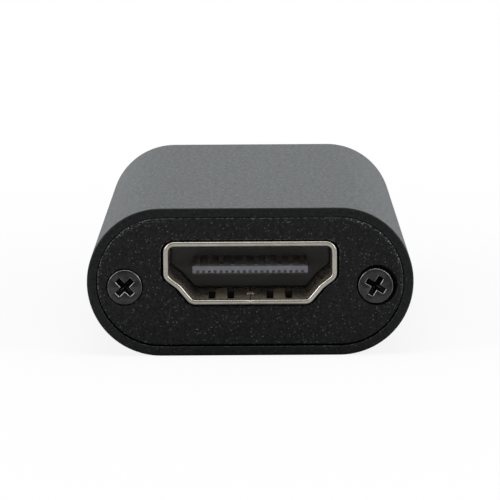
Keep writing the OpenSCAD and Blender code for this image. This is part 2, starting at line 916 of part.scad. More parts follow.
module regulators() {
    color("#202124")
        for (side = [left, right])
            on_board(side * regulator_pitch / 2, regulator_y, [regulator_w, regulator_w, regulator_h]);
}

module bulk_capacitors() {
    color("#a08763")
        for (i = [-1:1])
            on_board(i * bulk_pitch, bulk_y, [bulk_l, bulk_w, bulk_h]);
}

module surge_arrays() {
    color("#202124")
        for (i = [-1:1])
            on_board(i * surge_pitch, surge_y, [surge_l, surge_w, surge_h]);
}

// Small capacitors along the four sides of a chip
module bypass_ring(x, y, chip_w) {
    first = -(bypass_count - 1) / 2 * bypass_pitch;
    for (turn = [0, 90, 180, 270], i = [0:bypass_count - 1])
        translate([x, y, board_top_z])
            rotate([0, 0, turn])
                translate([chip_w / 2 + bypass_gap, first + i * bypass_pitch - chip_part_l / 2, 0])
                    cube([chip_part_w, chip_part_l, bypass_h]);
}

module bypass_capacitors() {
    color("#b39a72") {
        bypass_ring(-video_chip_x, video_chip_y, video_chip_w);
        bypass_ring(bridge_chip_x, bridge_chip_y, bridge_chip_w);
    }
}

module resistors() {
    color("#2c2d30")
        for (i = [0:resistor_count - 1])
            on_board(side_x + (i - (resistor_count - 1) / 2) * resistor_pitch, video_resistor_y,
                [chip_part_w, chip_part_l, resistor_h]);
}

// Pad under a chip, from the underside of the board down to the floor of the sleeve
module thermal_pad(x, y, w) {
    translate([x - w / 2, y - w / 2, wall_t + pad_clear])
        cube([w, w, board_gap - pad_clear]);
}

module thermal_pads() {
    color("#8fa7b8") {
        thermal_pad(-video_chip_x, video_chip_y, video_chip_w);
        thermal_pad(bridge_chip_x, bridge_chip_y, bridge_chip_w);
    }
}

sleeve();
front_plate();
rear_plate();
front_screw_left();
front_screw_right();
rear_screw_left();
rear_screw_right();
circuit_board();
video_shell();
video_springs();
video_insulator();
video_contacts();
data_shell();
data_springs_lower();
data_springs_upper();
data_insulator();
data_contacts();
video_chip();
bridge_chip();
flash_chip();
flash_leads();
video_crystal();
bridge_crystal();
inductors();
regulators();
bulk_capacitors();
surge_arrays();
bypass_capacitors();
resistors();
thermal_pads();
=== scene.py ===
import bmesh
import bpy
import numpy as np
from mathutils import Matrix, Vector


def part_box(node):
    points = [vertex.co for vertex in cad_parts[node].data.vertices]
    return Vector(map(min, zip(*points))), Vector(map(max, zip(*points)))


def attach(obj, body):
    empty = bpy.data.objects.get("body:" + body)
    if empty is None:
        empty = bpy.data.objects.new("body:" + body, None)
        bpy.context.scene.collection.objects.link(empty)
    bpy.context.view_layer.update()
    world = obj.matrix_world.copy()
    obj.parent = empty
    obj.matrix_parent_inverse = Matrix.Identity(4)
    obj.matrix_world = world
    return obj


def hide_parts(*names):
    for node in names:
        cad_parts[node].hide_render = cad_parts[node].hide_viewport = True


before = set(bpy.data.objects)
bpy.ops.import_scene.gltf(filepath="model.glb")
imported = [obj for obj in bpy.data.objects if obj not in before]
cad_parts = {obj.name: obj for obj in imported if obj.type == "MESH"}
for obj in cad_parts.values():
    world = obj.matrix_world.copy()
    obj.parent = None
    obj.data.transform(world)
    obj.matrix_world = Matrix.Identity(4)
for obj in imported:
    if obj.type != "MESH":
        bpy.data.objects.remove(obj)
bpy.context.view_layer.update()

# Camera: a long lens in front of the input end and a little above it, as the photograph is taken.
# It circles the middle of the end face, which lies below the middle of the frame.
MM = 0.001
lens_length = 306.3
view_distance = 364.2
view_height, view_turn, view_roll, look_down = np.radians((6.67, 0.12, 0.35, 6.24))


def place(name):
    """Lowest and highest corner of a node at rest, in millimetres."""
    return [np.array(corner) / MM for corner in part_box(name)]


def in_scene(name, data):
    """An object made of this data, put into the scene."""
    made = bpy.data.objects.new(name, data)
    bpy.context.scene.collection.objects.link(made)
    return made


sleeve_low, sleeve_high = place("sleeve")
end_y = sleeve_high[1]
middle_z = (sleeve_low[2] + sleeve_high[2]) / 2
camera = in_scene("camera", bpy.data.cameras.new("camera"))
camera.data.lens = lens_length
bpy.context.scene.camera = camera
stand_off = view_distance * np.array([np.sin(view_turn) * np.cos(view_height),
                                      -np.cos(view_turn) * np.cos(view_height), np.sin(view_height)])
camera.matrix_world = (Matrix.Translation((np.array([0, -end_y, middle_z]) + stand_off) * MM)
                       @ Matrix.Rotation(view_turn, 4, "Z")
                       @ Matrix.Rotation(np.pi / 2 - look_down, 4, "X")
                       @ Matrix.Rotation(-view_roll, 4, "Z"))

# Studio: a white table and a white surround, plain white to the camera but dimmer in mirrors, and dimmer
# still in mirrors near the object, a painted shadow.
# Two softboxes stand at the left and the right, and a broad one hangs overhead.
table_half, table_gap = 0.6, 0.00002
table_paint = (0.95, 0.95, 0.95, 1)
table_glow, table_mirror = 0.86, 0.7
table_oval = (2, 1, 1)
clear_near, clear_far = 0.03, 0.14
painted_shadow_near, painted_shadow_far, painted_shadow_level = 0.034, 0.05, 0.1
ambient = 0.42
front_y, front_level = (-1.0, 0.2), 0.2
roof_z, roof_level = (0.3, 0.9), 0.6
room_tint = (0.945, 0.99, 1.0)
overhead_size, overhead_place, overhead_power = 0.32, (0, -0.08, 0.42), 0.5
side_size, side_place, side_power = 0.28, (0.36, -0.3, 0.25), 0.8


def node(owner, kind, inputs=(), **settings):
    """A shader node with its settings, in the tree of a socket or a node, or in a tree itself.
    Each input is given as a value or as another node's socket."""
    tree = owner.id_data
    made = tree.nodes.new("ShaderNode" + kind)
    for key, value in settings.items():
        setattr(made, key, value)
    for key, value in dict(inputs).items():
        if isinstance(value, bpy.types.NodeSocket):
            tree.links.new(value, made.inputs[key])
        else:
            made.inputs[key].default_value = value
    return made


def calc(operation, *values):
    """One step of arithmetic on a socket and further values or sockets."""
    return node(values[0], "Math", enumerate(values), operation=operation).outputs[0]


def vector(operation, *values):
    """One step of arithmetic on vectors: its outputs Vector and Value."""
    return node(values[0], "VectorMath", enumerate(values), operation=operation).outputs


def ramp(value, start=0.0, end=1.0, low=0.0, high=1.0):
    """A value carried evenly from the range start to end over to low to high, and held at both ends."""
    return node(value, "MapRange", {0: value, 1: start, 2: end, 3: low, 4: high}).outputs[0]


def mixed(share, first, second):
    """A value between two others."""
    return node(share, "Mix", {0: share, 2: first, 3: second}).outputs[0]


def blend(share, first, second):
    """A colour between two others, which are given as numbers or sockets."""
    first, second = (c if isinstance(c, bpy.types.NodeSocket) else (*c, 1) for c in (first, second))
    return node(share, "Mix", {0: share, 6: first, 7: second}, data_type="RGBA").outputs[2]


def axes(vector):
    """The X, Y and Z of a vector."""
    return node(vector, "SeparateXYZ", {0: vector}).outputs


def point(tree):
    """The point that is shaded, in Object coordinates."""
    return node(tree, "TexCoord").outputs["Object"]


def emptied(owner):
    """The node tree of a world or a material, with nothing in it yet."""
    owner.use_nodes = True
    owner.node_tree.nodes.clear()
    return owner.node_tree


def seen_directly(tree):
    """One for camera, glossy and transmission rays, and nothing for the light that falls on things."""
    path = node(tree, "LightPath").outputs
    mirrored = calc("MAXIMUM", path["Is Glossy Ray"], path["Is Transmission Ray"])
    return calc("MAXIMUM", path["Is Camera Ray"], mirrored)


def softbox(name, size, spot, power):
    """A square area lamp at a spot, turned to face the object."""
    lamp = bpy.data.lights.new(name, "AREA")
    lamp.size, lamp.energy = size, power
    box = in_scene(name, lamp)
    box.location = spot
    aim = Vector((0, 0, middle_z * MM)) - box.location
    box.rotation_euler = aim.to_track_quat("-Z", "Y").to_euler()


bpy.context.scene.view_settings.view_transform = "Standard"
bpy.context.scene.world = bpy.data.worlds.new("white_surround")
tree = emptied(bpy.context.scene.world)
way = axes(node(tree, "TexCoord").outputs["Generated"])
ahead = ramp(way["Y"], *front_y, front_level, 1.0)
above = ramp(way["Z"], *roof_z, 1.0, roof_level)
level = mixed(seen_directly(tree), ambient, calc("MULTIPLY", ahead, above))
camera_ray = node(tree, "LightPath").outputs["Is Camera Ray"]
tint = blend(camera_ray, room_tint, (1, 1, 1))
strength = calc("MAXIMUM", level, camera_ray)
background = node(tree, "Background", {"Color": tint, "Strength": strength})
node(tree, "OutputWorld", {"Surface": background.outputs[0]})

corner_signs = ((-1, -1), (1, -1), (1, 1), (-1, 1))
table_mesh = bpy.data.meshes.new("table")
table_corners = [(x * table_half, y * table_half, -table_gap) for x, y in corner_signs]
table_mesh.from_pydata(table_corners, [], [range(4)])
in_scene("table", table_mesh)
white = bpy.data.materials.new("white_table")
table_mesh.materials.append(white)
tree = emptied(white)
camera_ray = node(tree, "LightPath").outputs["Is Camera Ray"]
far = vector("LENGTH", vector("MULTIPLY", point(tree), table_oval)["Vector"])["Value"]
clear = ramp(far, clear_near, clear_far, table_glow, 1.0)
glow = mixed(camera_ray, seen_directly(tree), clear)
# Painted shadow: in mirrors the table glows only dimly near the object, and brighter further out.
shaded = ramp(far, painted_shadow_near, painted_shadow_far, painted_shadow_level, table_mirror)
paint = node(tree, "BsdfDiffuse", {"Color": table_paint}).outputs[0]
light = node(tree, "Emission", {"Strength": mixed(camera_ray, shaded, 1.0)}).outputs[0]
shown = node(tree, "MixShader", {0: glow, 1: paint, 2: light}).outputs[0]
node(tree, "OutputMaterial", {"Surface": shown})

softbox("overhead", overhead_size, overhead_place, overhead_power)
for side in (-1, 1):
    softbox("side_light", side_size, np.multiply(side_place, (side, 1, 1)), side_power)

# Sleeve: an aluminium extrusion with half-round sides, cut to length, blasted and anodised black.
# Its ends are milled thinner inside as seats for the plates, and two slotted channels take their screws.
# Low rails along the inside carry the circuit board.
width, _, height = sleeve_high - sleeve_low
wall, seat_wall = 1.0, 0.8
outer_edge, inner_edge, seat_edge, step_edge = 0.16, 0.06, 0.03, 0.04
side_r = height / 2
side_x = width / 2 - side_r
board_low, board_high = place("circuit_board")
rail_reach, rail_gap = 1.2, 0.1
screw_in, channel_gap = 3.25, 0.1
channel_r, bore_r = 1.5, 0.88
half_slit, half_web = 0.3, 0.6
sunk = 0.3
# Bare metal on the seat's edge, shown only below a height where the edge faces up to the light: wear and a
# painted highlight.
seat_highlight_metal, seat_highlight_z = (0.25, 0.25, 0.26), (3.0, 5.5)
wear_starts, wear_fades = (0.006, 0.02), 0.7
weld_gap, crease = 0.0005, np.radians(38)
screw_x = width / 2 - screw_in
screw_z = board_high[2] + channel_gap + channel_r


def spokes(angle):
    """Unit vectors at these angles."""
    return np.stack([np.cos(angle), np.sin(angle)], 1)


def stadium(half_straight, radius, steps=48):
    """Two half circles of one radius round (+-half_straight, 0): the loop's points and outward normals."""
    spoke = spokes(np.linspace(-np.pi / 2, np.pi / 2, steps))
    normal = np.vstack([spoke, -spoke])
    centre = np.repeat([[half_straight, 0.0], [-half_straight, 0.0]], steps, 0)
    return centre + radius * normal, normal


def rounded(corners, radii, steps=8):
    """A counter-clockwise outline whose corners are arcs tangent to both sides: its points and normals.
    An arc's middle lies on the corner's bisector, and its radius swings evenly from side to side."""
    corner = np.array(corners, float)
    radius = np.broadcast_to(np.array(radii, float), len(corner))[:, None]
    back, ahead = np.roll(corner, 1, 0) - corner, np.roll(corner, -1, 0) - corner
    back /= np.linalg.norm(back, axis=1, keepdims=True)
    ahead /= np.linalg.norm(ahead, axis=1, keepdims=True)
    half = np.arccos(np.clip((back * ahead).sum(1, keepdims=True), -1, 1)) / 2
    bisector = (back + ahead) / np.linalg.norm(back + ahead, axis=1, keepdims=True)
    middle = corner + bisector * radius / np.sin(half)
    first, last = ((corner + way * radius / np.tan(half) - middle) / radius for way in (back, ahead))
    swing = (np.pi - 2 * half)[:, None]
    share = np.linspace(0, 1, steps)[None, :, None]
    spoke = np.sin((1 - share) * swing) * first[:, None] + np.sin(share * swing) * last[:, None]
    spoke /= np.sin(swing)
    points = middle[:, None] + radius[:, None] * spoke
    bulge = np.sign(ahead[:, 0] * back[:, 1] - ahead[:, 1] * back[:, 0])[:, None, None]
    return points.reshape(-1, 2), (bulge * spoke).reshape(-1, 2)


def swept(loop, normal, profile, centre=(0.0, 0.0)):
    """A loop in X and Z carried along a profile: at (out, y) its points move out along their normals."""
    out, along = np.array(profile, float).T
    flat = np.array(centre) + loop[None] + out[:, None, None] * normal[None]
    depth = np.broadcast_to(along[:, None], flat.shape[:2])
    return np.stack([flat[..., 0], depth, flat[..., 1]], -1)


def prism(outline, start, end):
    """A straight bar along Y: its outline of (x, z) at both ends."""
    return swept(outline, np.zeros_like(outline), [(0, start), (0, end)])


def surface(name, material, tubes=(), rings=(), flat=None, cuts=()):
    """A mesh from grids of points in millimetres whose columns close on themselves, as a ring's rows do.
    Cells whose middle lies in a box of cuts are left out. Open ends square to axis flat are filled."""
    points, cells, count = [], [], 0
    for grid, closed in [(g, False) for g in tubes] + [(g, True) for g in rings]:
        index = count + np.arange(grid.shape[0] * grid.shape[1]).reshape(grid.shape[:2])
        count += index.size
        index = np.vstack([index, index[:1]]) if closed else index
        here, there = index[:-1], index[1:]
        corners = [here, np.roll(here, -1, 1), np.roll(there, -1, 1), there]
        cells.append(np.stack(corners, -1).reshape(-1, 4))
        points.append(grid.reshape(-1, 3))
    points, cells = np.vstack(points), np.vstack(cells)
    middles = points[cells].mean(1)
    for low, high in cuts:
        inside = ((middles > low) & (middles < high)).all(1)
        cells, middles = cells[~inside], middles[~inside]
    mesh = bpy.data.meshes.new(name)
    mesh.from_pydata(points.tolist(), [], cells.tolist())
    work = bmesh.new()
    work.from_mesh(mesh)
    bmesh.ops.remove_doubles(work, verts=work.verts, dist=weld_gap)
    if flat is not None:
        edges = [e for e in work.edges if e.is_boundary]
        level = {e: round(sum(v.co[flat] for v in e.verts), 2) for e in edges}
        for plane in sorted(set(level.values())):
            bmesh.ops.triangle_fill(work, use_beauty=True, edges=[e for e in edges if level[e] == plane])
    bmesh.ops.delete(work, geom=[v for v in work.verts if not v.link_faces], context="VERTS")
    bmesh.ops.recalc_face_normals(work, faces=work.faces)
    if work.calc_volume(signed=True) < 0:
        bmesh.ops.reverse_faces(work, faces=work.faces)
    work.to_mesh(mesh)
    work.free()
    mesh.transform(Matrix.Scale(MM, 4))
    mesh.shade_smooth()
    mesh.set_sharp_from_angle(angle=crease)
    mesh.materials.append(material)
    made = in_scene(name, mesh)
    made.modifiers.new("even_shading", "WEIGHTED_NORMAL").keep_sharp = True
    return made


def fit(piece, body, slot, *nodes):
    """Gives a piece its place in the frame under its body, and hides the CAD nodes it stands for. The slot
    is not used.
    """
    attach(piece, body)
    if nodes:
        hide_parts(*nodes)


def principled(name, color, roughness, metallic=0.0, ior=1.5):
    """A material whose shader holds these constants: the material, its node tree and the shader."""
    made = bpy.data.materials.new(name)
    made.use_nodes = True
    shader = made.node_tree.nodes["Principled BSDF"]
    values = {"Base Color": (*color, 1), "Roughness": roughness, "Metallic": metallic, "IOR": ior}
    for socket, value in values.items():
        shader.inputs[socket].default_value = value
    return made, made.node_tree, shader


def feed(taker, sockets):
    """Links sockets to the named or numbered inputs of a node."""
    for name, socket in sockets.items():
        taker.id_data.links.new(socket, taker.inputs[name])


def dress(shader, color, gloss, height, strength, depth, **settings):
    """Gives a shader its colour and gloss, and bumps of this depth from a height."""
    bump = node(shader, "Bump", {"Height": height, "Strength": strength, "Distance": depth}, **settings)
    feed(shader, {"Base Color": color, "Roughness": gloss, "Normal": bump.outputs[0]})


def cover(shader, share, color):
    """Lays another colour over a finish where the share says so."""
    finish = shader.inputs["Base Color"].links[0].from_socket
    feed(shader, {"Base Color": blend(share, finish, color)})


def group(name, inputs, outputs):
    """An empty shader node group with named value sockets: its tree, input sockets and output node."""
    made = bpy.data.node_groups.new(name, "ShaderNodeTree")
    for names, way in ((inputs, "INPUT"), (outputs, "OUTPUT")):
        for socket in names:
            made.interface.new_socket(socket, in_out=way, socket_type="NodeSocketFloat")
    return made, made.nodes.new("NodeGroupInput").outputs[:len(inputs)], made.nodes.new("NodeGroupOutput")


def use_group(tree, shared, values):
    """Places a shared group in a material with values in the order of its inputs: its outputs."""
    made = tree.nodes.new("ShaderNodeGroup")
    made.node_tree = shared
    for socket, value in zip(made.inputs, values):
        socket.default_value = value
    return made.outputs


def noise(where, scale, detail, roughness=0.5):
    """A cloudy noise with this many clouds per unit of where."""
    inputs = {"Vector": where, "Scale": scale, "Detail": detail, "Roughness": roughness}
    return node(where, "TexNoise", inputs).outputs[0]


blast, (pit_scale, mottle_scale, glint_share, drawn_out), blast_out = group(
    "blasted_grain", ["Pits per metre", "Mottle per metre", "Glint share", "Drawn out"],
    ["Height", "Mottle", "Glint"])
where = point(blast)
shorter = node(blast, "CombineXYZ", {0: 1.0, 1: drawn_out, 2: 1.0}).outputs[0]
drawn = vector("MULTIPLY", where, shorter)["Vector"]
pits = noise(where, pit_scale, detail=3.0, roughness=0.6)
mottle = ramp(noise(drawn, mottle_scale, detail=2.0, roughness=0.7), start=0.3, end=0.7)
# Glint: rare cells, small painted glints of the blasted skin in the colour bare.
cell = node(blast, "TexVoronoi", {"Vector": where, "Scale": pit_scale}).outputs
pick = node(blast, "SeparateColor", {0: cell["Color"]}).outputs[0]
bright = ramp(pick, 0.0, glint_share, low=1.0, high=0.0)
core = ramp(cell["Distance"], start=0.2, end=0.6, low=1.0, high=0.0)
feed(blast_out, {0: pits, 1: mottle, 2: calc("MULTIPLY", bright, core)})


def anodised(name, dye, pale, bare, smooth, rough, ior, grain, depth):
    """Black dye in a blasted oxide skin: fine pits, small patches paler and glossier than the rest, and rare
    pale grains, painted glints of the blasted skin. The grain is pits and mottle per metre, the share of
    glints and the draw along Y."""
    made, tree, shader = principled(name, dye, rough, ior=ior)
    skin = use_group(tree, blast, grain)
    color = blend(skin["Glint"], blend(skin["Mottle"], dye, pale), bare)
    gloss = ramp(skin["Mottle"], low=rough, high=smooth)
    dress(shader, color, gloss, skin["Height"], strength=1.0, depth=depth)
    return made, tree, shader


wear, (face, reach, fleck_scale, rubbed_from, bare_from), wear_out = group(
    "edge_wear", ["Face", "Reach", "Flecks per metre", "Rubbed from", "Bare from"], ["Bare"])
where = point(wear)
behind = calc("SUBTRACT", face, calc("ABSOLUTE", axes(where)["Y"]))
starts = ramp(behind, *np.multiply(wear_starts, MM))
ends = ramp(behind, reach, calc("MULTIPLY", reach, wear_fades))
bare = ramp(noise(where, fleck_scale, detail=3.0, roughness=0.7), rubbed_from, bare_from)
feed(wear_out, {0: calc("MULTIPLY", calc("MULTIPLY", starts, ends), bare)})


def worn(tree, face, reach, flecks, rubbed, bare):
    """How far an edge is rubbed bare: a band just behind the face at this Y, broken up by a noise."""
    return use_group(tree, wear, (face * MM, reach * MM, flecks, rubbed, bare))["Bare"]


def product(mask, *others):
    """Several masks multiplied."""
    for other in others:
        mask = calc("MULTIPLY", mask, other)
    return mask


def end_place(tree):
    """A point of an end: X without sign, Z, and the distance from the line between the two half circles."""
    spot = axes(point(tree))
    across = calc("ABSOLUTE", spot["X"])
    past = calc("MAXIMUM", calc("SUBTRACT", across, side_x * MM), 0.0)
    up = calc("SUBTRACT", spot["Z"], middle_z * MM)
    off_line = node(tree, "CombineXYZ", {0: past, 1: up}).outputs[0]
    return across, spot["Z"], vector("LENGTH", off_line)["Value"]


sleeve_finish, tree, shader = anodised(
    "sleeve_aluminium", dye=(0.0004, 0.00045, 0.0005), pale=(0.0075, 0.0081, 0.0085),
    bare=(0.06, 0.064, 0.066), smooth=0.355, rough=0.455, ior=1.32,
    grain=(9500.0, 3400.0, 0.04, 0.3), depth=0.000024)
_, height_z, from_line = end_place(tree)
# Painted highlight: the seat's inner edge shows bare, rubbed metal only low down, where it faces up to the
# light.
at_seat = calc("LESS_THAN", from_line, (side_r - seat_wall + inner_edge) * MM)
highlight_low_down = ramp(height_z, *np.multiply(seat_highlight_z, MM), low=1.0, high=0.0)
seat_wear = worn(tree, end_y, reach=0.1, flecks=4000.0, rubbed=0.5, bare=0.72)
rubbed = product(at_seat, highlight_low_down, seat_wear)
cover(shader, rubbed, seat_highlight_metal)
feed(shader, {"Metallic": rubbed})
seat_y = -place("front_plate")[1][1]
half_wall = [(0, end_y), (-seat_wall, end_y), (-seat_wall, seat_y), (-wall, seat_y)]
edges = [outer_edge, inner_edge, seat_edge, step_edge]
whole_wall = [(out, -y) for out, y in half_wall] + half_wall[::-1]
wall_profile, _ = rounded(whole_wall, edges + edges[::-1], steps=6)
tube = swept(*stadium(side_x, side_r), wall_profile, (0, middle_z))
rail_top = board_low[2] - rail_gap
rail_x = board_high[0] - rail_reach
sunk_r = side_r - wall + sunk
rail_end = -np.arcsin((middle_z - rail_top) / sunk_r)
rail_start = -np.arccos((rail_x - side_x) / sunk_r)
rail_arc = (side_x, middle_z) + sunk_r * spokes(np.linspace(rail_start, rail_end, 9))
rail = np.vstack([rail_arc, [(rail_x, rail_top)]])
slit_outer, slit_inner = np.arcsin(half_slit / channel_r), np.arcsin(half_slit / bore_r)
web_x = side_x + sunk_r - screw_x
upper = np.linspace(np.pi - slit_outer, np.arcsin(half_web / channel_r), 24)
bore = np.linspace(slit_inner - np.pi, np.pi - slit_inner, 40)
channel = np.vstack([channel_r * spokes(upper), [(web_x, half_web), (web_x, -half_web)],
                     channel_r * spokes(-upper[::-1]), bore_r * spokes(bore)]) + (screw_x, screw_z)
bars = [prism(outline * (side, 1), -seat_y, seat_y) for outline in (rail, channel) for side in (-1, 1)]
sleeve = surface("sleeve_body", sleeve_finish, bars, [tube], flat=1)
fit(sleeve, "sleeve", "sleeve_aluminium", "sleeve")

# Circuit board: glass-fibre laminate with copper tracks under green solder mask, routed to shape.
# Slots take the legs of both sockets, and the long edges slide on the sleeve's rails.
mask_green, track_green, pour_green = (0.010, 0.060, 0.028), (0.022, 0.105, 0.050), (0.016, 0.085, 0.040)
bare_edge = (0.30, 0.27, 0.14)
board_corner = 0.6
first_tracks = {"turn": 0, "pitch": 0.42, "length": 7.4}
further_tracks = ((90, 0.36, 6.2, 0.51), (45, 0.4, 4.8, 0.58), (90, 30, 60, 0.53))
patch_seed = 1.7
leg_spots = {"video_shell": (7.0, 7.45), "data_shell": (6.25, 6.55)}
leg_gap, leg_half, leg_first, leg_pitch = 0.1, 0.65, 4.3, 5.4


def raised(loop, normal, profile):
    """A loop in X and Y carried up a profile: at (out, z) its points move out along their normals."""
    return swept(loop, normal, profile)[..., [0, 2, 1]]


def rectangle(low, high):
    """The four corners of a rectangle, counter-clockwise."""
    return np.array([(low[0], low[1]), (high[0], low[1]), (high[0], high[1]), (low[0], high[1])], float)


def legs(shell):
    """Lowest and highest (x, y) of a socket's four legs, which stand in two rows behind its mouth."""
    mouth = max(place(shell), key=lambda corner: abs(corner[1]))[1]
    rows = [mouth - np.sign(mouth) * (leg_first + row * leg_pitch) for row in (0, 1)]
    near, far = leg_spots[shell]
    return [(np.array((first, y - leg_half)), np.array((last, y + leg_half)))
            for y in rows for first, last in ((-far, -near), (near, far))]


def track_field(where, turn, pitch, length):
    """Parallel tracks under the mask, turned about Z: long bricks of copper with bare gaps as joints."""
    turned = node(where, "Mapping", {"Vector": where, "Rotation": (0, 0, np.radians(turn))}).outputs[0]
    bricks = {"Vector": turned, "Scale": 1 / MM, "Brick Width": length, "Row Height": pitch,
              "Color1": (*track_green, 1), "Color2": (*pour_green, 1), "Mortar": (*mask_green, 1),
              "Mortar Size": 0.085, "Mortar Smooth": 0.3}
    return node(where, "TexBrick", bricks, offset=0.37, squash=2.3, squash_frequency=3).outputs


def patch_mask(where, layer, level):
    """One inside patches some millimetres wide, whose share of the board falls as the level rises."""
    inputs = {"Vector": where, "W": layer, "Scale": 190.0, "Detail": 0.0}
    cloud = node(where, "TexNoise", inputs, noise_dimensions="4D").outputs[0]
    return calc("GREATER_THAN", cloud, level)


board_finish, tree, shader = principled("board_laminate", mask_green, 0.32)
where = point(tree)
tracks, gaps = track_field(where, **first_tracks)
for layer, (turn, pitch, length, level) in enumerate(further_tracks):
    patch = patch_mask(where, patch_seed + layer, level)
    more_tracks, more_gaps = track_field(where, turn, pitch, length)
    tracks, gaps = blend(patch, tracks, more_tracks), mixed(patch, gaps, more_gaps)
facing = axes(node(tree, "TexCoord").outputs["Normal"])["Z"]
masked = calc("GREATER_THAN", calc("ABSOLUTE", facing), 0.5)
gloss = ramp(masked, low=0.75, high=0.3)
color = blend(masked, bare_edge, tracks)
dress(shader, color, gloss, gaps, strength=0.6, depth=0.000015, invert=True)
edge, _ = rounded(rectangle(board_low, board_high), board_corner)
slots = [rectangle(low - leg_gap, high + leg_gap) for shell in leg_spots for low, high in legs(shell)]
walls = [raised(o, np.zeros_like(o), [(0, board_low[2]), (0, board_high[2])]) for o in (edge, *slots)]
fit(surface("printed_board", board_finish, walls, flat=2), "board", "board_laminate", "circuit_board")

# Chips: the video receiver and the bridge to the data socket, square mouldings with a dimple at pin one.
# The program memory is a smaller body on two rows of bent leads. All are soldered to the board.
mould_black, mould_dust = (0.014, 0.014, 0.015), (0.030, 0.030, 0.032)
tin_bright, tin_dull = (0.68, 0.68, 0.67), (0.46, 0.46, 0.45)
dimple_in, dimple_r, dimple_floor = 1.1, 0.45, 0.02
edge_pads, edge_pitch, pad_in, pad_h = 15, 0.5, 0.12, 0.2
pad_half = (0.11, 0.14, 0)
carrier_h, carrier_rim, carrier_lap = 0.35, 0.3, 0.02
memory_tilt, memory_top, memory_bevel, half_waist = 0.18, 0.16, 0.05, 0.05
lead_w, lead_t, lead_bend, lead_pitch = 0.4, 0.15, 0.16, 1.27
lead_in, lead_knee, lead_drop = 0.1, 0.05, 0.02


def solids(name):
    """Lowest and highest corner of each solid of a node, in millimetres: two arrays of one row a solid.
    A triangle's corners take the lowest of their labels until none changes. Each label left is a solid."""
    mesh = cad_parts[name].data
    points, corners = np.empty(len(mesh.vertices) * 3), np.empty(len(mesh.loops), int)
    mesh.vertices.foreach_get("co", points)
    mesh.loops.foreach_get("vertex_index", corners)
    spots, index = np.unique(np.round(points.reshape(-1, 3) / MM, 4), axis=0, return_inverse=True)
    triangles = index.ravel()[corners].reshape(-1, 3)
    label, before = np.arange(len(spots)), None
    while not np.array_equal(label, before):
        before = label.copy()
        np.minimum.at(label, triangles, before[triangles].min(1, keepdims=True))
    each = [spots[label == solid] for solid in np.unique(label)]
    return np.array([s.min(0) for s in each]), np.array([s.max(0) for s in each])


def soft_boxes(lows, highs, corner, edge, steps=3):
    """Boxes with round upright corners and round rims: the rim's inset and height follow a quarter circle.
    Each box is one grid whose first and last rows shrink to the middle of its bottom and its top."""
    turn = np.linspace(0, np.pi / 2, steps)
    spoke = spokes((np.arange(4)[:, None] * np.pi / 2 + turn).ravel())
    quarter = np.repeat([(1, 1), (-1, 1), (-1, -1), (1, -1)], steps, 0)
    inset = np.concatenate([edge * (1 - np.sin(turn)), edge * (1 - np.cos(turn))])[:, None, None]
    lift = np.concatenate([edge * (1 - np.cos(turn)), edge * (np.sin(turn) - 1)])
    grids = []
    for low, high in zip(np.atleast_2d(lows), np.atleast_2d(highs)):
        middle, half = (low + high)[:2] / 2, (high - low)[:2] / 2
        flat = middle + quarter * (half - corner) + (corner - inset) * spoke
        level = lift + np.repeat([low[2], high[2]], steps)
        rows = np.concatenate([flat, np.broadcast_to(level[:, None, None], (*flat.shape[:2], 1))], 2)
        bottom, top = (np.broadcast_to((*middle, z), (1, len(spoke), 3)) for z in (low[2], high[2]))
        grids.append(np.concatenate([bottom, rows, top]))
    return grids


def strips(path, places, width, thick, bevel=0.02):
    """Bent strips: an eight-cornered section carried along a path of (y, z), its width changing along it if
    given so. One grid for each X in places, its ends shrunk to a point."""
    run = np.gradient(path, axis=0)
    run /= np.linalg.norm(run, axis=1, keepdims=True)
    side = np.stack([-run[:, 1], run[:, 0]], 1)
    half_w = np.broadcast_to(np.array(width) / 2, len(path))[:, None]
    sign_x, sign_t = np.repeat([(1, 1), (-1, 1), (-1, -1), (1, -1)], 2, 0).T
    across = sign_x * (half_w - np.tile((0, 1, 1, 0), 2) * bevel)
    through = sign_t * (thick / 2 - np.tile((1, 0, 0, 1), 2) * bevel)
    flat = path[:, None] + through[None, :, None] * side[:, None]
    rows = np.concatenate([across[..., None], flat], 2)
    first, last = (np.broadcast_to((0, *path[i]), (1, 8, 3)) for i in (0, -1))
    grid = np.concatenate([first, rows, last])
    return [grid + (x, 0, 0) for x in places]


def in_row(count, pitch=1.0):
    """Places in a row, the same distance apart and centred on nought."""
    return (np.arange(count) - (count - 1) / 2) * pitch


def bent(points, radius, steps=5):
    """An open path of (y, z) whose inner corners are arcs of one radius."""
    arcs = rounded(points, radius, steps)[0].reshape(len(points), steps, 2)
    return np.vstack([points[0], arcs[1:-1].reshape(-1, 2), points[-1]])


def rolled(radius, steps):
    """A quarter circle from a face round to a side: how far out from the side and behind the face."""
    turn = np.linspace(0, np.pi / 2, steps)
    return radius * (np.sin(turn) - 1), radius * (1 - np.cos(turn))


def dimple(low, high, inset, radius, slope, depth, steps):
    """The mark of pin one in a chip's top: a round dish with a sloped wall and a nearly flat floor."""
    ring, outward = stadium(0, 0, steps)
    floor = high[2] - depth
    profile = [(radius, high[2]), (radius - slope, floor), (0, floor - dimple_floor)]
    return raised(ring + (low[0] + inset, high[1] - inset), outward, profile)


def moulded(low, high, corner, rim):
    """Walls of a moulded body: its outline up to a round rim, and the dish of pin one."""
    out, down = rolled(rim, steps=4)
    profile = np.vstack([(0, low[2]), np.column_stack([out, high[2] - down])[::-1]])
    return [raised(*rounded(rectangle(low, high), corner, steps=5), profile),
            dimple(low, high, dimple_in, dimple_r, slope=0.03, depth=0.04, steps=16)]


mould_grain, (grain_scale,), mould_out = group("moulded_grain", ["Grain per metre"], ["Height", "Dust"])
where = point(mould_grain)
fine = noise(where, grain_scale, detail=4.0)
dust = ramp(noise(where, 700.0, detail=5.0, roughness=0.65), start=0.45, end=0.75)
feed(mould_out, {0: fine, 1: dust})

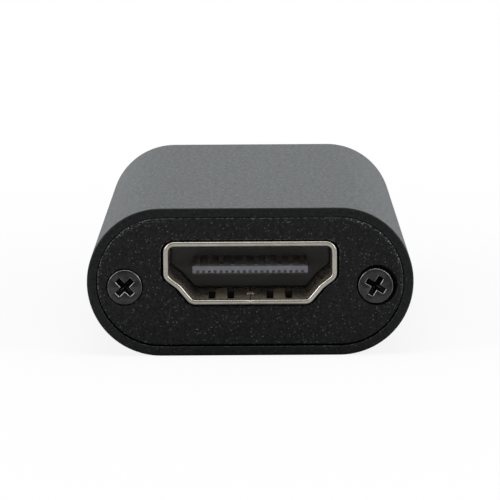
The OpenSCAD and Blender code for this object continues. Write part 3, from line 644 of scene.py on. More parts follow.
metal_marks, (across, along), metal_out = group("drawn_marks", ["Across per metre", "Along per metre"],
                                                ["Height", "Tarnish"])
where = point(metal_marks)
stretch = node(metal_marks, "CombineXYZ", {0: across, 1: along, 2: across}).outputs[0]
drawn = vector("MULTIPLY", where, stretch)["Vector"]
lines = noise(drawn, 1.0, detail=3.0, roughness=0.7)
clouds = ramp(noise(where, 900.0, detail=4.0, roughness=0.6), start=0.4, end=0.72)
feed(metal_out, {0: lines, 1: clouds})


def patchy(name, color, patch, roughness, duller, shared, values, strength, depth, metallic=0.0):
    """A finish from a shared group of a height and patches, which have another colour and are duller."""
    made, tree, shader = principled(name, color, roughness, metallic)
    height, patches = use_group(tree, shared, values)
    gloss = ramp(patches, low=roughness, high=roughness + duller)
    dress(shader, blend(patches, color, patch), gloss, height, strength, depth)
    return made


def moulding(name, color, dusty, roughness, grain, depth):
    """Moulded plastic or ceramic: a fine grain in the surface and a paler, duller film in patches."""
    return patchy(name, color, dusty, roughness, 0.15, mould_grain, [grain], 0.7, depth)


def plated(name, color, dull, roughness, across, along, depth, film=0.0):
    """Plated metal: fine drawing marks along Y, clouds of dark, rough tarnish, and a share of dull film."""
    return patchy(name, color, dull, roughness, 0.12, metal_marks, [across, along], 0.5, depth, 1.0 - film)


mould_finish = moulding("chip_mould", mould_black, mould_dust, roughness=0.5, grain=24000.0, depth=0.000006)
tin_finish = plated("tinned_lead", tin_bright, tin_dull, roughness=0.28, across=9000.0, along=9000.0,
                    depth=0.000004)
receiver_low, receiver_high = place("video_chip")
receiver_walls = moulded(receiver_low, receiver_high, corner=0.12, rim=0.06)
fit(surface("receiver_chip", mould_finish, receiver_walls, flat=2), "board", "chip_mould", "video_chip")
bridge_low, bridge_high = place("bridge_chip")
carrier_top = bridge_low[2] + carrier_h
carrier_box = soft_boxes(bridge_low, (*bridge_high[:2], carrier_top), corner=0.1, edge=0.03)
fit(surface("bridge_carrier", board_finish, carrier_box), "board", "board_laminate")
cap_low = np.array((*(bridge_low[:2] + carrier_rim), carrier_top - carrier_lap))
cap_walls = moulded(cap_low, bridge_high - (carrier_rim, carrier_rim, 0), corner=0.2, rim=0.08)
fit(surface("bridge_chip_cap", mould_finish, cap_walls, flat=2), "board", "chip_mould", "bridge_chip")
memory_low, memory_high = place("flash_chip")
waist = (memory_low[2] + memory_high[2]) / 2
memory_profile = [(-memory_tilt, memory_low[2]), (0, waist - half_waist), (0, waist + half_waist),
                  (-memory_top, memory_high[2] - memory_bevel),
                  (-memory_top - memory_bevel, memory_high[2])]
memory_walls = [raised(*rounded(rectangle(memory_low, memory_high), 0.08, steps=4), memory_profile),
                dimple(memory_low, memory_high, inset=0.75, radius=0.3, slope=0.02, depth=0.03, steps=12)]
fit(surface("memory_chip", mould_finish, memory_walls, flat=2), "board", "chip_mould", "flash_chip")
lead_low, lead_high = place("flash_leads")
lead_foot = lead_low[2] + lead_t / 2
body_half, lead_half = (memory_high - memory_low)[0] / 2, (lead_high - lead_low)[0] / 2
knee = (body_half + lead_half) / 2
lead_path = bent(np.array([(body_half - lead_in, waist), (knee - lead_knee, waist),
                           (knee + lead_drop, lead_foot), (lead_half, lead_foot)]), lead_bend)
memory_mid = (memory_low + memory_high) / 2
lead_strips = strips(lead_path, memory_mid[1] + in_row(4, lead_pitch), lead_w, lead_t)
lead_grids = [np.stack([memory_mid[0] + side * grid[..., 1], grid[..., 0], grid[..., 2]], -1)
              for side in (-1, 1) for grid in lead_strips]
fit(surface("memory_leads", tin_finish, lead_grids), "board", "tinned_lead", "flash_leads")
pad_row = np.column_stack([in_row(edge_pads, edge_pitch), np.zeros((edge_pads, 2))])
pad_out = (receiver_high - receiver_low)[0] / 2 - pad_in
pad_rows = np.vstack([pad_row + (0, side * pad_out, 0) for side in (-1, 1)])
pad_mids = np.vstack([pad_rows, pad_rows[:, [1, 0, 2]]])
pad_mids += (*(receiver_low + receiver_high)[:2] / 2, receiver_low[2])
pad_halves = np.repeat([pad_half, (pad_half[1], pad_half[0], 0)], 2 * edge_pads, 0)
pad_tops = pad_mids + pad_halves + (0, 0, pad_h)
pad_boxes = soft_boxes(pad_mids - pad_halves, pad_tops, corner=0.03, edge=0.02, steps=2)
fit(surface("receiver_pads", tin_finish, pad_boxes), "board", "tinned_lead")

# Small parts: crystals in steel cans, ferrite coils, regulators, ceramic capacitors and resistors.
# Each is placed on paste and soldered at its ends or feet. Soft pads take heat down to the sleeve.
can_bright, can_dull = (0.60, 0.59, 0.57), (0.45, 0.44, 0.42)
body_inset, foot_h = 0.02, 0.3
lid_in, lid_start, can_h = 0.12, 0.45, 0.5
can_finish = plated("crystal_can", can_bright, can_dull, roughness=0.3, across=7000.0, along=1500.0,
                    depth=0.000004)
ferrite_finish = moulding("ferrite", (0.045, 0.046, 0.050), (0.075, 0.076, 0.080), roughness=0.62,
                          grain=14000.0, depth=0.00002)
ceramic_finish = moulding("capacitor_ceramic", (0.30, 0.20, 0.12), (0.36, 0.26, 0.17), roughness=0.4,
                          grain=20000.0, depth=0.000004)
resistor_finish = moulding("resistor_ceramic", (0.016, 0.016, 0.018), (0.03, 0.03, 0.033), roughness=0.35,
                           grain=20000.0, depth=0.000003)
rubber_finish = moulding("pad_rubber", (0.23, 0.24, 0.26), (0.30, 0.31, 0.33), roughness=0.75,
                         grain=9000.0, depth=0.00002)


def ended(lows, highs, share, inset):
    """Splits boxes along their longer side: bodies pulled in a little, and end caps of a share each."""
    size = highs - lows
    along_x = size[:, :1] >= size[:, 1:2]
    axis = np.hstack([along_x, ~along_x, np.zeros_like(along_x)])
    cap = share * size.max(1, keepdims=True) * axis
    side = inset * (1 - axis) * (1, 1, 0) + (0, 0, inset)
    body = (lows + 0.5 * cap + side * (1, 1, 0), highs - 0.5 * cap - side)
    end = size * ~axis + cap
    return body, np.vstack([lows, highs - end]), np.vstack([lows + end, highs])


end_lows, end_highs = [], []
for name, finish, slot, share, foot, steps in (
        ("bulk_capacitors", ceramic_finish, "capacitor_ceramic", 0.17, None, 3),
        ("bypass_capacitors", ceramic_finish, "capacitor_ceramic", 0.24, None, 2),
        ("resistors", resistor_finish, "resistor_ceramic", 0.2, None, 3),
        ("inductors", ferrite_finish, "ferrite", 0.16, foot_h, 3),
        ("surge_arrays", mould_finish, "chip_mould", 0.14, foot_h, 3),
        ("regulators", mould_finish, "chip_mould", 0.12, foot_h, 3)):
    body, low, high = ended(*solids(name), share, body_inset)
    boxes = soft_boxes(*body, corner=0.06, edge=0.04, steps=steps)
    fit(surface(name + "_bodies", finish, boxes), "board", slot, name)
    end_lows.append(low)
    end_highs.append(np.column_stack([high[:, :2], low[:, 2] + foot]) if foot else high)
end_boxes = soft_boxes(np.vstack(end_lows), np.vstack(end_highs), corner=0.05, edge=0.04, steps=2)
fit(surface("soldered_ends", tin_finish, end_boxes), "board", "tinned_lead")
for name in ("video_crystal", "bridge_crystal"):
    low, high = place(name)
    tops = [(*high[:2], low[2] + can_h), high - (lid_in, lid_in, 0)]
    boxes = soft_boxes([low, low + (lid_in, lid_in, lid_start)], tops, corner=0.3, edge=0.06, steps=5)
    fit(surface(name + "_can", can_finish, boxes), "board", "tinned_lead", name)
boxes = soft_boxes(*solids("thermal_pads"), corner=0.25, edge=0.12, steps=4)
fit(surface("heat_pads", rubber_finish, boxes), "board", "pad_rubber", "thermal_pads")

# Board print: white outlines in epoxy ink round the larger parts.
# Vias filled with solder join the copper layers, and a tinned land surrounds each slot for a socket's leg.
ink_gap, ink_w, ink_t = 0.4, 0.16, 0.02
via_r, via_h, via_grid, via_space = 0.24, 0.04, 0.635, 1.25
via_in, via_tries = 2, 900
land_w, land_t = 0.4, 0.05
ink_corner, land_corner = 0.2, 0.02
ink_finish = moulding("board_ink", (0.60, 0.61, 0.59), (0.50, 0.51, 0.49), roughness=0.6,
                      grain=20000.0, depth=0.000003)


def flat_ring(outline, corner, width, base, thick):
    """A flat band round an outline in X and Y: a closed section that leans in from its base to its top."""
    lean, top = abs(thick), base + thick
    section = [(0, base), (width, base), (width - lean, top), (lean, top)]
    return raised(*rounded(outline, corner, steps=3), section)


large = [place(name) for name in ("video_chip", "bridge_chip", "flash_leads", "video_crystal",
                                  "bridge_crystal")]
for name in ("inductors", "regulators", "bulk_capacitors"):
    large += list(zip(*solids(name)))
board_top = board_high[2]
ink_lines = [rectangle(low[:2] - ink_gap, high[:2] + ink_gap) for low, high in large]
ink_rings = [flat_ring(line, ink_corner, ink_w, board_top, ink_t) for line in ink_lines]
fit(surface("board_outlines", ink_finish, rings=ink_rings), "board", "board_laminate")
taken = large + [solids(name) for name in ("bypass_capacitors", "resistors", "surge_arrays")]
taken += [place(name) for name in ("video_shell", "data_shell", "video_contacts", "data_contacts")]
taken_low = np.vstack([low for low, _ in taken])[:, :2] - ink_gap - ink_w - via_r
taken_high = np.vstack([high for _, high in taken])[:, :2] + ink_gap + ink_w + via_r
spots = np.random.default_rng(11).uniform(board_low[:2] + via_in, board_high[:2] - via_in, (via_tries, 2))
spots = np.unique(np.round(spots / via_grid), axis=0) * via_grid
free = ((spots[:, None] < taken_low) | (spots[:, None] > taken_high)).any(2).all(1)
spots = np.random.default_rng(5).permutation(spots[free])
near = np.linalg.norm(spots[:, None] - spots, axis=2) < via_space
spots = spots[~np.tril(near, -1).any(1)]
via_low = np.column_stack([spots - via_r, np.full(len(spots), board_top)])
via_high = via_low + (2 * via_r, 2 * via_r, via_h)
via_boxes = soft_boxes(via_low, via_high, corner=via_r, edge=via_h / 2, steps=2)
fit(surface("board_vias", tin_finish, via_boxes), "board", "tinned_lead")
land_rings = [flat_ring(slot, land_corner, land_w, level, lift) for slot in slots
              for level, lift in ((board_top, land_t), (board_low[2], -land_t))]
fit(surface("board_lands", tin_finish, rings=land_rings), "board", "tinned_lead")

# Video socket: a shell folded from nickel-plated steel round a moulded block with a flat tongue.
# Nineteen gilded strips lie in the tongue, and two spring fingers are cut from the shell's floor.
nickel_bright, nickel_dull = (0.565, 0.535, 0.47), (0.48, 0.45, 0.39)
brass_bright, brass_dull = (0.46, 0.40, 0.30), (0.34, 0.28, 0.20)
gold_bright, gold_dull = (0.62, 0.535, 0.40), (0.53, 0.455, 0.34)
tarnish_brown, tarnish_metal, tarnish_and_shade_in = (0.47, 0.40, 0.315), 0.68, (0.2, 0.5)
# Cut faces of the windows near the floor: sheared steel, painted much darker and rougher as shade.
shaded_cut_steel, shaded_cut_rough = (0.095, 0.085, 0.075), 0.6
shaded_cut_x, shaded_cut_z = 5.0, 2.25
block_grey, block_film = (0.132, 0.132, 0.155), (0.166, 0.166, 0.187)
block_painted_light, painted_light_in = (0.215, 0.215, 0.222), (0.2, 1.2)
opening_h, shell_wall = 4.55, 0.45
half_opening = [(4.9, 0.0), (5.95, 1.25), (7.0, 2.05), (7.0, opening_h)]
half_radii = [0.5, 1.3, 0.5, 0.5]
mouth_edge, back_edge = 0.16, 0.03
half_seam, seam_depth = 0.04, 0.55
window_x, window_l, window_gap, cut_slack = 1.1, 4.94, 0.02, 0.1
edge_steps, leg_up = 6, 1
latch_half, latch_r, latch_h, latch_in, latch_sunk = 0.16, 0.24, 0.24, 4.2, 0.02
finger_w, finger_tip, finger_t, finger_edge, finger_root = 1.1, 0.95, 0.26, 0.05, 0.02
finger_run = (0.0, 0.5, 2.2, 3.4, 3.75, 4.0, 4.25, 4.55)
finger_lift = np.array((0.0, 0.02, 0.15, 0.27, 0.40, 0.46, 0.40, 0.22))
tongue_w, tongue_corner = 10.0, 0.12
tongue_rows = ((0, -0.12, 0.40, 0.1), (0.04, -0.15, 0.46, 0.04),
               (0.25, -0.17, 0.5, 0.02), (1.9, -0.5, 0.5, 0.0))
dent_w, dent_h, dent_drop, dent_pitch = 0.28, 0.22, 0.01, 0.5
dent_rows = np.array([(1.0, 0.0), (0.86, 0.04), (0.78, 0.2), (0.0, 0.2)])
block_l, block_lap, block_gap, block_bevel = 2.2, 0.3, 0.03, 0.12
contact_w, contact_t, contact_bend = 0.4, 0.15, 0.2
lower_start, foot_l, tail_step = 1.7, 0.6, 1.0


def window(x, half, span, z, thick):
    """A window in a wall square to Z: its four cut faces, and the box that clears the wall's cells."""
    outline = rectangle((x - half, span[0]), (x + half, span[1]))
    faces = raised(outline, np.zeros_like(outline), [(0, z), (0, z + thick)])
    return faces, ((x - half, span[0], z - cut_slack), (x + half, span[1], z + thick + cut_slack))


def shell_profile(mouth, back, thick, edge, stops):
    """Section of a shell's wall from mouth to back, with extra rows where windows start and end."""
    section = [(0, mouth), (thick, mouth), (thick, back), (0, back)]
    profile, _ = rounded(section, [edge, edge, back_edge, back_edge], edge_steps)
    ends = np.split(profile, 2)
    return np.vstack([ends[0], [(thick, y) for y in stops], ends[1], [(0, y) for y in stops[::-1]]])


def folded_legs(shell):
    """The four flat legs that stand through the board, from the shell's sides down to below it."""
    low, high = place(shell)
    lows = [(*first, low[2]) for first, _ in legs(shell)]
    highs = [(*last, (low[2] + high[2]) / 2 + leg_up) for _, last in legs(shell)]
    return soft_boxes(lows, highs, corner=0.06, edge=0.06)


def finger_path(root, rise, sign):
    """Side view of a spring finger: flat at its root, rising slowly, over a ridge and down to its tip."""
    run = np.linspace(0, finger_run[-1], 28)
    lift = np.interp(run, finger_run, finger_lift * rise / finger_lift.max())
    return np.column_stack([root[0] + sign * run, root[1] + lift])


def block_sides(face, back, bevel):
    """Side of a socket's block, just inside the shell: a bevel round its face, then straight back."""
    bevel_end = face + np.sign(back - face) * bevel
    return [(-block_gap - bevel, face), (-block_gap, bevel_end), (-block_gap, back)]


def opened(material):
    """The node tree and the shader of a finish."""
    return material.node_tree, material.node_tree.nodes["Principled BSDF"]


shell_low, shell_high = place("video_shell")
floor_z = shell_high[2] - shell_wall - opening_h
shell_finish = plated("plated_shell", nickel_bright, nickel_dull, roughness=0.22, across=6000.0,
                      along=700.0, depth=0.0000015)
spring_finish = plated("spring_plate", brass_bright, brass_dull, roughness=0.42, across=8000.0, along=900.0,
                       depth=0.000002, film=0.35)
gold_finish = plated("contact_gold", gold_bright, gold_dull, roughness=0.2, across=8000.0, along=900.0,
                     depth=0.000001, film=0.1)
tree, shader = opened(shell_finish)
spot = node(tree, "TexCoord").outputs
outward = calc("ABSOLUTE", axes(spot["Object"])["Y"])
deep = ramp(outward, *((-shell_low[1] - np.array(tarnish_and_shade_in)) * MM))
from_axis = vector("SUBTRACT", spot["Object"], (0, 0, (floor_z + opening_h / 2) * MM))["Vector"]
spoke = vector("MULTIPLY", from_axis, (1, 0, 1))["Vector"]
facing = vector("DOT_PRODUCT", spoke, spot["Normal"])["Value"]
inside = calc("MULTIPLY", deep, calc("LESS_THAN", facing, 0.0))
across, up = (calc("ABSOLUTE", axes(spoke)[axis]) for axis in "XZ")
upright = calc("ABSOLUTE", axes(spot["Normal"])["Z"])
# Painted shade: upright faces deep in the shell near its floor and roof, the cut faces of the windows, are
# dark and rough sheared steel.
shaded_cuts = product(deep, calc("LESS_THAN", upright, 0.5), calc("LESS_THAN", across, shaded_cut_x * MM),
                  calc("GREATER_THAN", up, shaded_cut_z * MM))
polish = shader.inputs["Roughness"].links[0].from_socket
cover(shader, inside, tarnish_brown)
cover(shader, shaded_cuts, shaded_cut_steel)
feed(shader, {"Metallic": ramp(inside, low=1.0, high=tarnish_metal),
              "Roughness": mixed(shaded_cuts, polish, shaded_cut_rough)})
opening = half_opening + [(-x, z) for x, z in half_opening[::-1]]
opening_radii = half_radii + half_radii[::-1]
mouth, mouth_normal = rounded(opening, opening_radii)
spring_low, spring_high = place("video_springs")
spring_x = (spring_low[0] + finger_w / 2, spring_high[0] - finger_w / 2)
stops_x = np.array([spring_x[0] - window_x, spring_x[0] + window_x, -half_seam, 0, half_seam,
                    spring_x[1] - window_x, spring_x[1] + window_x])
mouth = np.vstack([mouth, np.column_stack([stops_x, np.zeros_like(stops_x)])])
mouth_normal = np.vstack([mouth_normal, np.tile((0, -1), (len(stops_x), 1))])
window_y = (spring_low[1] - window_gap, spring_low[1] - window_gap + window_l)
profile = shell_profile(shell_low[1], shell_high[1], shell_wall, mouth_edge, window_y)
tube = swept(mouth, mouth_normal, profile, (0, floor_z))
# The middle one of the seven stops is the bottom of the seam's groove.
tube[:, -4, 2] = floor_z - shell_wall / 2 + seam_depth * (shell_wall / 2 - profile[:, 0])
windows, cuts = zip(*[window(x, window_x, window_y, floor_z - shell_wall, shell_wall) for x in spring_x])
latch, latch_normal = stadium(latch_half, 0, steps=8)
latch_base = floor_z - latch_sunk
dome = spokes(np.linspace(0, np.pi / 2, 5)) * (latch_r, latch_h) + (0, latch_base)
latch = raised(latch + (0, shell_low[1] + latch_in), latch_normal, np.vstack([(0, latch_base), dome]))
shell_walls = [*windows, *folded_legs("video_shell"), latch]
video_shell = surface("video_socket_shell", shell_finish, shell_walls, [tube], cuts=cuts)
fit(video_shell, "board", "plated_shell", "video_shell")
finger_rise = spring_high[2] - floor_z + shell_wall / 2 - finger_t / 2
finger = finger_path((spring_low[1] + finger_root, floor_z - shell_wall / 2), finger_rise, 1)
widths = np.linspace(finger_w, finger_tip, len(finger))
finger_strips = strips(finger, spring_x, widths, finger_t, finger_edge)
fingers = surface("video_spring_fingers", spring_finish, finger_strips)
fit(fingers, "video_springs", "plated_shell", "video_springs")

block_low, block_high = place("video_insulator")
tip_y, block_y = block_low[1], block_high[1] - block_l
tongue_z = (block_low[2] + block_high[2]) / 2
video_plastic = moulding("video_plastic", block_grey, block_film, roughness=0.42, grain=20000.0,
                         depth=0.000004)
tree, shader = opened(video_plastic)
# Painted light: the plastic turns paler from 0.2 to 1.2 mm behind the tongue's tip, lightening the shaded
# inside of the socket.
cover(shader, ramp(axes(point(tree))["Y"], *((tip_y + np.array(painted_light_in)) * MM)), block_painted_light)
back_row = (block_y + block_lap - tip_y, *tongue_rows[-1][1:])
bar = []
for deep, low, high, inset in (*tongue_rows, back_row):
    section = rectangle((inset - tongue_w / 2, low), (tongue_w / 2 - inset, high))
    bar.append(swept(*rounded(section, tongue_corner, steps=6), [(0, tip_y + deep)], (0, tongue_z)))
bar = np.concatenate(bar)
dent = rectangle((-dent_w / 2, -dent_h / 2), (dent_w / 2, dent_h / 2))
dents = [swept(np.zeros_like(dent), dent, dent_rows + (0, tip_y), (x, tongue_z - dent_drop))
         for x in in_row(19, dent_pitch)]
sides = block_sides(block_y, block_high[1], block_bevel)
block = swept(*rounded(opening, opening_radii), sides, (0, floor_z))
tongue = surface("video_tongue", video_plastic, [bar, block] + dents, flat=1)
fit(tongue, "board", "video_plastic", "video_insulator")

strip_low, strip_high = place("video_contacts")
upper_z, lower_z = strip_high[2] - contact_t / 2, 2 * tongue_z - strip_high[2] + contact_t / 2
foot_z = strip_low[2] + contact_t / 2
tail_y = strip_high[1] - foot_l


def dropped(start, level, tail):
    """Side view of a contact: straight along the tongue, down behind the block and out to its foot."""
    end = tail + np.sign(tail - start) * foot_l
    return bent(np.array([(start, level), (tail, level), (tail, foot_z), (end, foot_z)]), contact_bend)


upper_path = dropped(strip_low[1], upper_z, tail_y)
lower_path = dropped(strip_low[1] + lower_start, lower_z, tail_y - tail_step)
contact_strips = (strips(upper_path, in_row(10), contact_w, contact_t)
                  + strips(lower_path, in_row(9), contact_w, contact_t))
fit(surface("video_contact_strips", gold_finish, contact_strips), "board", "contact_gold", "video_contacts")

# Data socket: a plain rectangular shell of plated steel with spring fingers in its floor and its roof.
# Its blue block carries a thick tongue with four flat contacts behind and five narrow ones near the tip.
data_blue, data_film = (0.020, 0.105, 0.42), (0.04, 0.14, 0.47)
data_wall, data_w, data_h, data_corner, data_edge = 0.3, 12.5, 5.12, 0.5, 0.1
data_window_x, data_finger_w, data_taper = 1.35, 1.6, 0.25
data_tongue_w, data_tongue_t, data_tongue_top = 11.1, 1.84, 0.75
data_tongue_corner, data_tongue_round = 0.25, 0.3
data_block_l, data_block_lap, data_block_bevel = 4.0, 0.3, 0.06
flat_contact_x, flat_contact_w, flat_contact_start = (-3.5, -1.0, 1.0, 3.5), 0.9, 4.5
fast_contact_w, fast_contact_pitch, fast_contact_bend = 0.6, 2.0, 0.15
fast_flat, fast_sunk = 1.2, 1.8
contact_proud = 0.03
data_low, data_high = place("data_shell")
data_floor = data_high[2] - data_wall - data_h
data_roof = data_floor + data_h
lower_low, lower_high = place("data_springs_lower")
data_spring_x = (lower_low[0] + data_finger_w / 2, lower_high[0] - data_finger_w / 2)
data_corners = rectangle((-data_w / 2, 0), (data_w / 2, data_h))
stops_x = np.array([x + side * data_window_x for x in data_spring_x for side in (-1, 1)])
roof_row = np.column_stack([stops_x[::-1], np.full(4, data_h)])
floor_row = np.column_stack([stops_x, np.zeros(4)])
# The outline is turned by one corner, so that its right half comes first.
loop, normal = (np.split(np.roll(each, -len(each) // 4, 0), 2)
                for each in rounded(data_corners, data_corner))
loop = np.vstack([loop[0], roof_row, loop[1], floor_row])
normal = np.vstack([normal[0], np.tile((0, 1), (4, 1)), normal[1], np.tile((0, -1), (4, 1))])
window_y = (lower_high[1] + window_gap - window_l, lower_high[1] + window_gap)
profile = shell_profile(data_high[1], data_low[1], data_wall, data_edge, window_y[::-1])
windows, cuts = zip(*[window(x, data_window_x, window_y, z, data_wall)
                      for x in data_spring_x for z in (data_floor - data_wall, data_roof)])
tube = swept(loop, normal, profile, (0, data_floor))
shell_walls = [*windows, *folded_legs("data_shell")]
data_shell = surface("data_socket_shell", shell_finish, shell_walls, [tube], cuts=cuts)
fit(data_shell, "board", "plated_shell", "data_shell")
finger_rise = lower_high[2] - data_floor + data_wall / 2 - finger_t / 2
lower_finger = finger_path((lower_high[1] - finger_root, data_floor - data_wall / 2), finger_rise, -1)
upper_finger = lower_finger * (1, -1) + (0, data_floor + data_roof)
widths = np.linspace(data_finger_w, data_finger_w - data_taper, len(lower_finger))
for name, path in (("data_springs_lower", lower_finger), ("data_springs_upper", upper_finger)):
    finger_strips = strips(path, data_spring_x, widths, finger_t, finger_edge)
    fingers = surface(name.replace("springs", "spring_fingers"), shell_finish, finger_strips)
    fit(fingers, name, "plated_shell", name)

data_plastic = moulding("data_plastic", data_blue, data_film, roughness=0.38, grain=20000.0, depth=0.000004)
base_low, base_high = place("data_insulator")
data_tongue_z = data_roof - data_tongue_top - data_tongue_t / 2
block_y = base_low[1] + data_block_l
tongue = rectangle((-data_tongue_w / 2, -data_tongue_t / 2), (data_tongue_w / 2, data_tongue_t / 2))
out, behind = rolled(data_tongue_round, steps=5)
bar_profile = np.vstack([np.column_stack([out, base_high[1] - behind]), (0, block_y - data_block_lap)])
bar = swept(*rounded(tongue, data_tongue_corner, steps=6), bar_profile, (0, data_tongue_z))
sides = block_sides(block_y, base_low[1], data_block_bevel)
base = swept(*rounded(data_corners, data_corner), sides, (0, data_floor))
fit(surface("data_tongue", data_plastic, [bar, base], flat=1), "board", "data_plastic", "data_insulator")
pin_low, pin_high = place("data_contacts")
under_z = data_tongue_z - data_tongue_t / 2 - contact_proud + contact_t / 2
fast_tail = pin_low[1] + foot_l
flat_path = dropped(base_high[1] - flat_contact_start, under_z, fast_tail + tail_step)
fast_path = bent(np.array([
    (pin_high[1], under_z), (pin_high[1] - fast_flat, under_z), (pin_high[1] - fast_sunk, data_tongue_z),
    (fast_tail, data_tongue_z), (fast_tail, foot_z), (pin_low[1], foot_z)]), fast_contact_bend)
contact_strips = (strips(flat_path, flat_contact_x, flat_contact_w, contact_t)
                  + strips(fast_path, in_row(5, fast_contact_pitch), fast_contact_w, contact_t))
fit(surface("data_contact_strips", gold_finish, contact_strips), "board", "contact_gold", "data_contacts")

# End plates: aluminium punched to shape, coarsely blasted, anodised black, nearly flush with the sleeve.
# Each has a rolled edge, an opening for its socket and two countersunk holes, and sits high in its seat.
# The right front countersink is cut wide, and a little off its hole.
plate_edge, port_edge, sink_edge = 0.12, 0.08, 0.04
side_gap, level_gap = 0.21, 0.1
sink_r, hole_r = 1.59, 0.95
wide_sink, sink_slip, sink_wall = 1.73, (0.12, 0.06), 0.3
seat_lift, seat_spread, seat_grow = 0.05, 0.02, 0.02
plate_r = place("front_plate")[1][0] - side_x + seat_grow
# Worn metal and the heights where it shows on the plate's edge: wear with a painted highlight.
worn_highlight_metal, highlight_z = (0.33, 0.33, 0.345), (3.8, 7.8)
speck_scale, speck_range, speck_reach = 6500.0, (0.56, 0.72), 0.3
highlight_shoulder_x, screw_clear = (6.0, 9.0), 0.35
plate_finish, tree, shader = anodised(
    "plate_aluminium", dye=(0.0002, 0.0002, 0.0003), pale=(0.0100, 0.0100, 0.0106),
    bare=(0.12, 0.12, 0.125), smooth=0.34, rough=0.54, ior=1.29,
    grain=(9500.0, 4200.0, 0.09, 1.0), depth=0.000026)
across, height_z, from_line = end_place(tree)
from_screw = vector("DISTANCE", node(tree, "CombineXYZ", {0: across, 1: height_z}).outputs[0],
                    (screw_x * MM, screw_z * MM, 0))["Value"]
# Painted highlight: the rolled edge and specks near the sides are rubbed bare only high up, where they face
# the light, and not round the screws.
clear = calc("GREATER_THAN", from_screw, (sink_r + screw_clear) * MM)
highlight_high_up = ramp(height_z, *np.multiply(highlight_z, MM))
near_edge = ramp(from_line, (plate_r - speck_reach) * MM, plate_r * MM)
highlight_shoulder = ramp(across, *np.multiply(highlight_shoulder_x, MM))
specks = ramp(noise(point(tree), speck_scale, detail=1.0), *speck_range)
edge = worn(tree, -place("front_plate")[0][1], reach=0.13, flecks=3800.0, rubbed=0.44, bare=0.7)
rubbed = calc("MAXIMUM", edge, product(specks, near_edge, highlight_shoulder))
rubbed = product(rubbed, clear, highlight_high_up)
cover(shader, rubbed, worn_highlight_metal)
feed(shader, {"Metallic": rubbed})
for name, (loop, normal), thick, base_z in (
        ("front_plate", rounded(opening, opening_radii, steps=12), shell_wall, floor_z),
        ("rear_plate", rounded(data_corners, data_corner, steps=12), data_wall, data_floor)):
    low, high = place(name)
    face, back = sorted((low[1], high[1]), key=abs, reverse=True)
    inward = -np.sign(face)
    out, behind = rolled(plate_edge, steps=6)
    rim_profile = np.vstack([np.column_stack([out, face + inward * behind]), (0, back)])
    rim = swept(*stadium(side_x + seat_spread, plate_r, steps=64), rim_profile, (0, middle_z + seat_lift))
    hole = loop + normal * (thick + side_gap, thick + level_gap)
    port = swept(hole, normal, [(port_edge, face), (0, face + inward * port_edge), (0, back)], (0, base_z))
    walls = [rim, port]
    for side in (-1, 1):
        spot = np.array((side * screw_x, screw_z))
        off = (name, side) == ("front_plate", 1)
        radius, centre, depth = sink_r, spot, sink_edge
        if off:
            radius, centre, depth = wide_sink, spot + sink_slip, sink_wall
        cone = [(radius + sink_edge, face), (radius, face + inward * sink_edge)]
        if off:
            cone.append((radius, face + inward * depth))
        bore = [(hole_r, face + inward * (depth + radius - hole_r)), (hole_r, back)]
        ring = stadium(0, 0, steps=32)
        walls.append(np.concatenate([swept(*ring, cone, centre), swept(*ring, bore, spot)]))
    fit(surface("blasted_" + name, plate_finish, walls, flat=1), name, "plate_aluminium", name)

# Screws: four small flat-head screws of steel in black zinc, with a cross recess pressed into the head.
# They go through the plates into the sleeve's channels and cut their thread there.
zinc_black, zinc_dull = (0.066, 0.066, 0.068), (0.034, 0.034, 0.036)
driven_steel, rim_steel = (0.17, 0.17, 0.17), (0.30, 0.30, 0.31)
head_r, head_rim, head_round = 1.5, 0.12, 0.11
shank_r, thread_pitch, thread_depth = 0.85, 0.4, 0.11
point_l, point_in = 0.3, 0.35
half_span, half_arm = 0.88, 0.22
floor_span, floor_arm, recess_depth, recess_cone = 0.55, 0.14, 0.68, 0.3
recess_edge = ((0.1, 0.0), (0.04, 0.025), (0.0, 0.09))
thread_rows, head_steps = 120, 96
screw_turns = {"front_screw_left": 45, "front_screw_right": 58,
               "rear_screw_left": 12, "rear_screw_right": 70}


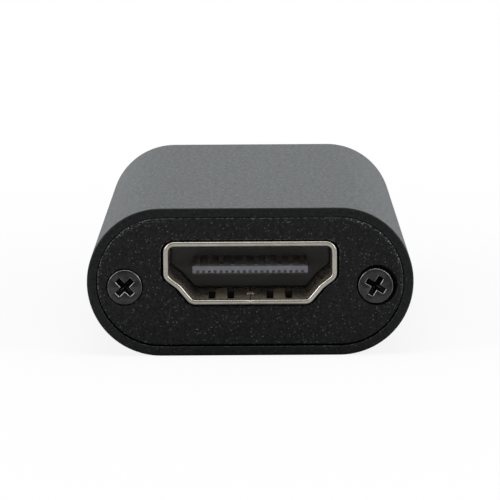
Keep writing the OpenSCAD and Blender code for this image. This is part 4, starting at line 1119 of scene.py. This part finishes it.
def cross_radius(angle, span, arm):
    """Distance from a plus sign's middle to its outline: span / cos at an arm's end, arm / sin beside it."""
    fold = np.abs((angle + np.pi / 4) % (np.pi / 2) - np.pi / 4)
    return np.minimum(span / np.cos(fold), arm / np.maximum(np.sin(fold), 1e-6))


screw_finish = plated("black_screw", zinc_black, zinc_dull, roughness=0.24, across=9000.0, along=9000.0,
                      depth=0.000010)
tree, shader = opened(screw_finish)
head_y = -place("front_screw_left")[0][1]
cover(shader, worn(tree, head_y, reach=1.2, flecks=5000.0, rubbed=0.5, bare=0.75), driven_steel)
cover(shader, worn(tree, head_y, reach=0.13, flecks=3000.0, rubbed=0.3, bare=0.6), rim_steel)
tip_angle = np.arctan2(half_arm, half_span)
corner_angle = np.concatenate([[-tip_angle, tip_angle, np.pi / 4] + q for q in np.arange(4) * np.pi / 2])
even_angle = np.linspace(0, 2 * np.pi, head_steps, endpoint=False)
angle = np.unique(np.round(np.concatenate([even_angle, corner_angle % (2 * np.pi)]), 5))
recess = [(cross_radius(angle, half_span + grow, half_arm + grow), deep) for grow, deep in recess_edge]
recess.append((cross_radius(angle, floor_span, floor_arm), recess_depth))
recess.append((0 * angle, recess_depth + recess_cone))
rim = [(np.full_like(angle, head_r + out), behind) for out, behind in zip(*rolled(head_round, steps=5))]
rim.append((np.full_like(angle, head_r), head_rim))
for name, turn in screw_turns.items():
    low, high = place(name)
    top, tip = sorted((low[1], high[1]), key=abs, reverse=True)
    length = abs(tip - top)
    depth = np.linspace(head_rim + head_r - shank_r, length - point_l, thread_rows)
    lead = (depth[:, None] / thread_pitch + angle / (2 * np.pi)) % 1
    thread = list(zip(shank_r - thread_depth * np.abs(2 * lead - 1), depth))
    end = [(np.full_like(angle, shank_r - point_in), length), (0 * angle, length)]
    rows = recess[::-1] + rim + thread + end
    radius = np.stack([r for r, _ in rows])
    along = top - np.sign(top) * np.array([d for _, d in rows])
    middle, turned = (low + high) / 2, angle + np.radians(turn)
    grid = np.stack([middle[0] + radius * np.cos(turned), np.broadcast_to(along[:, None], radius.shape),
                     middle[2] + radius * np.sin(turned)], -1)
    fit(surface("cross_" + name, screw_finish, [grid]), name, "black_screw", name)
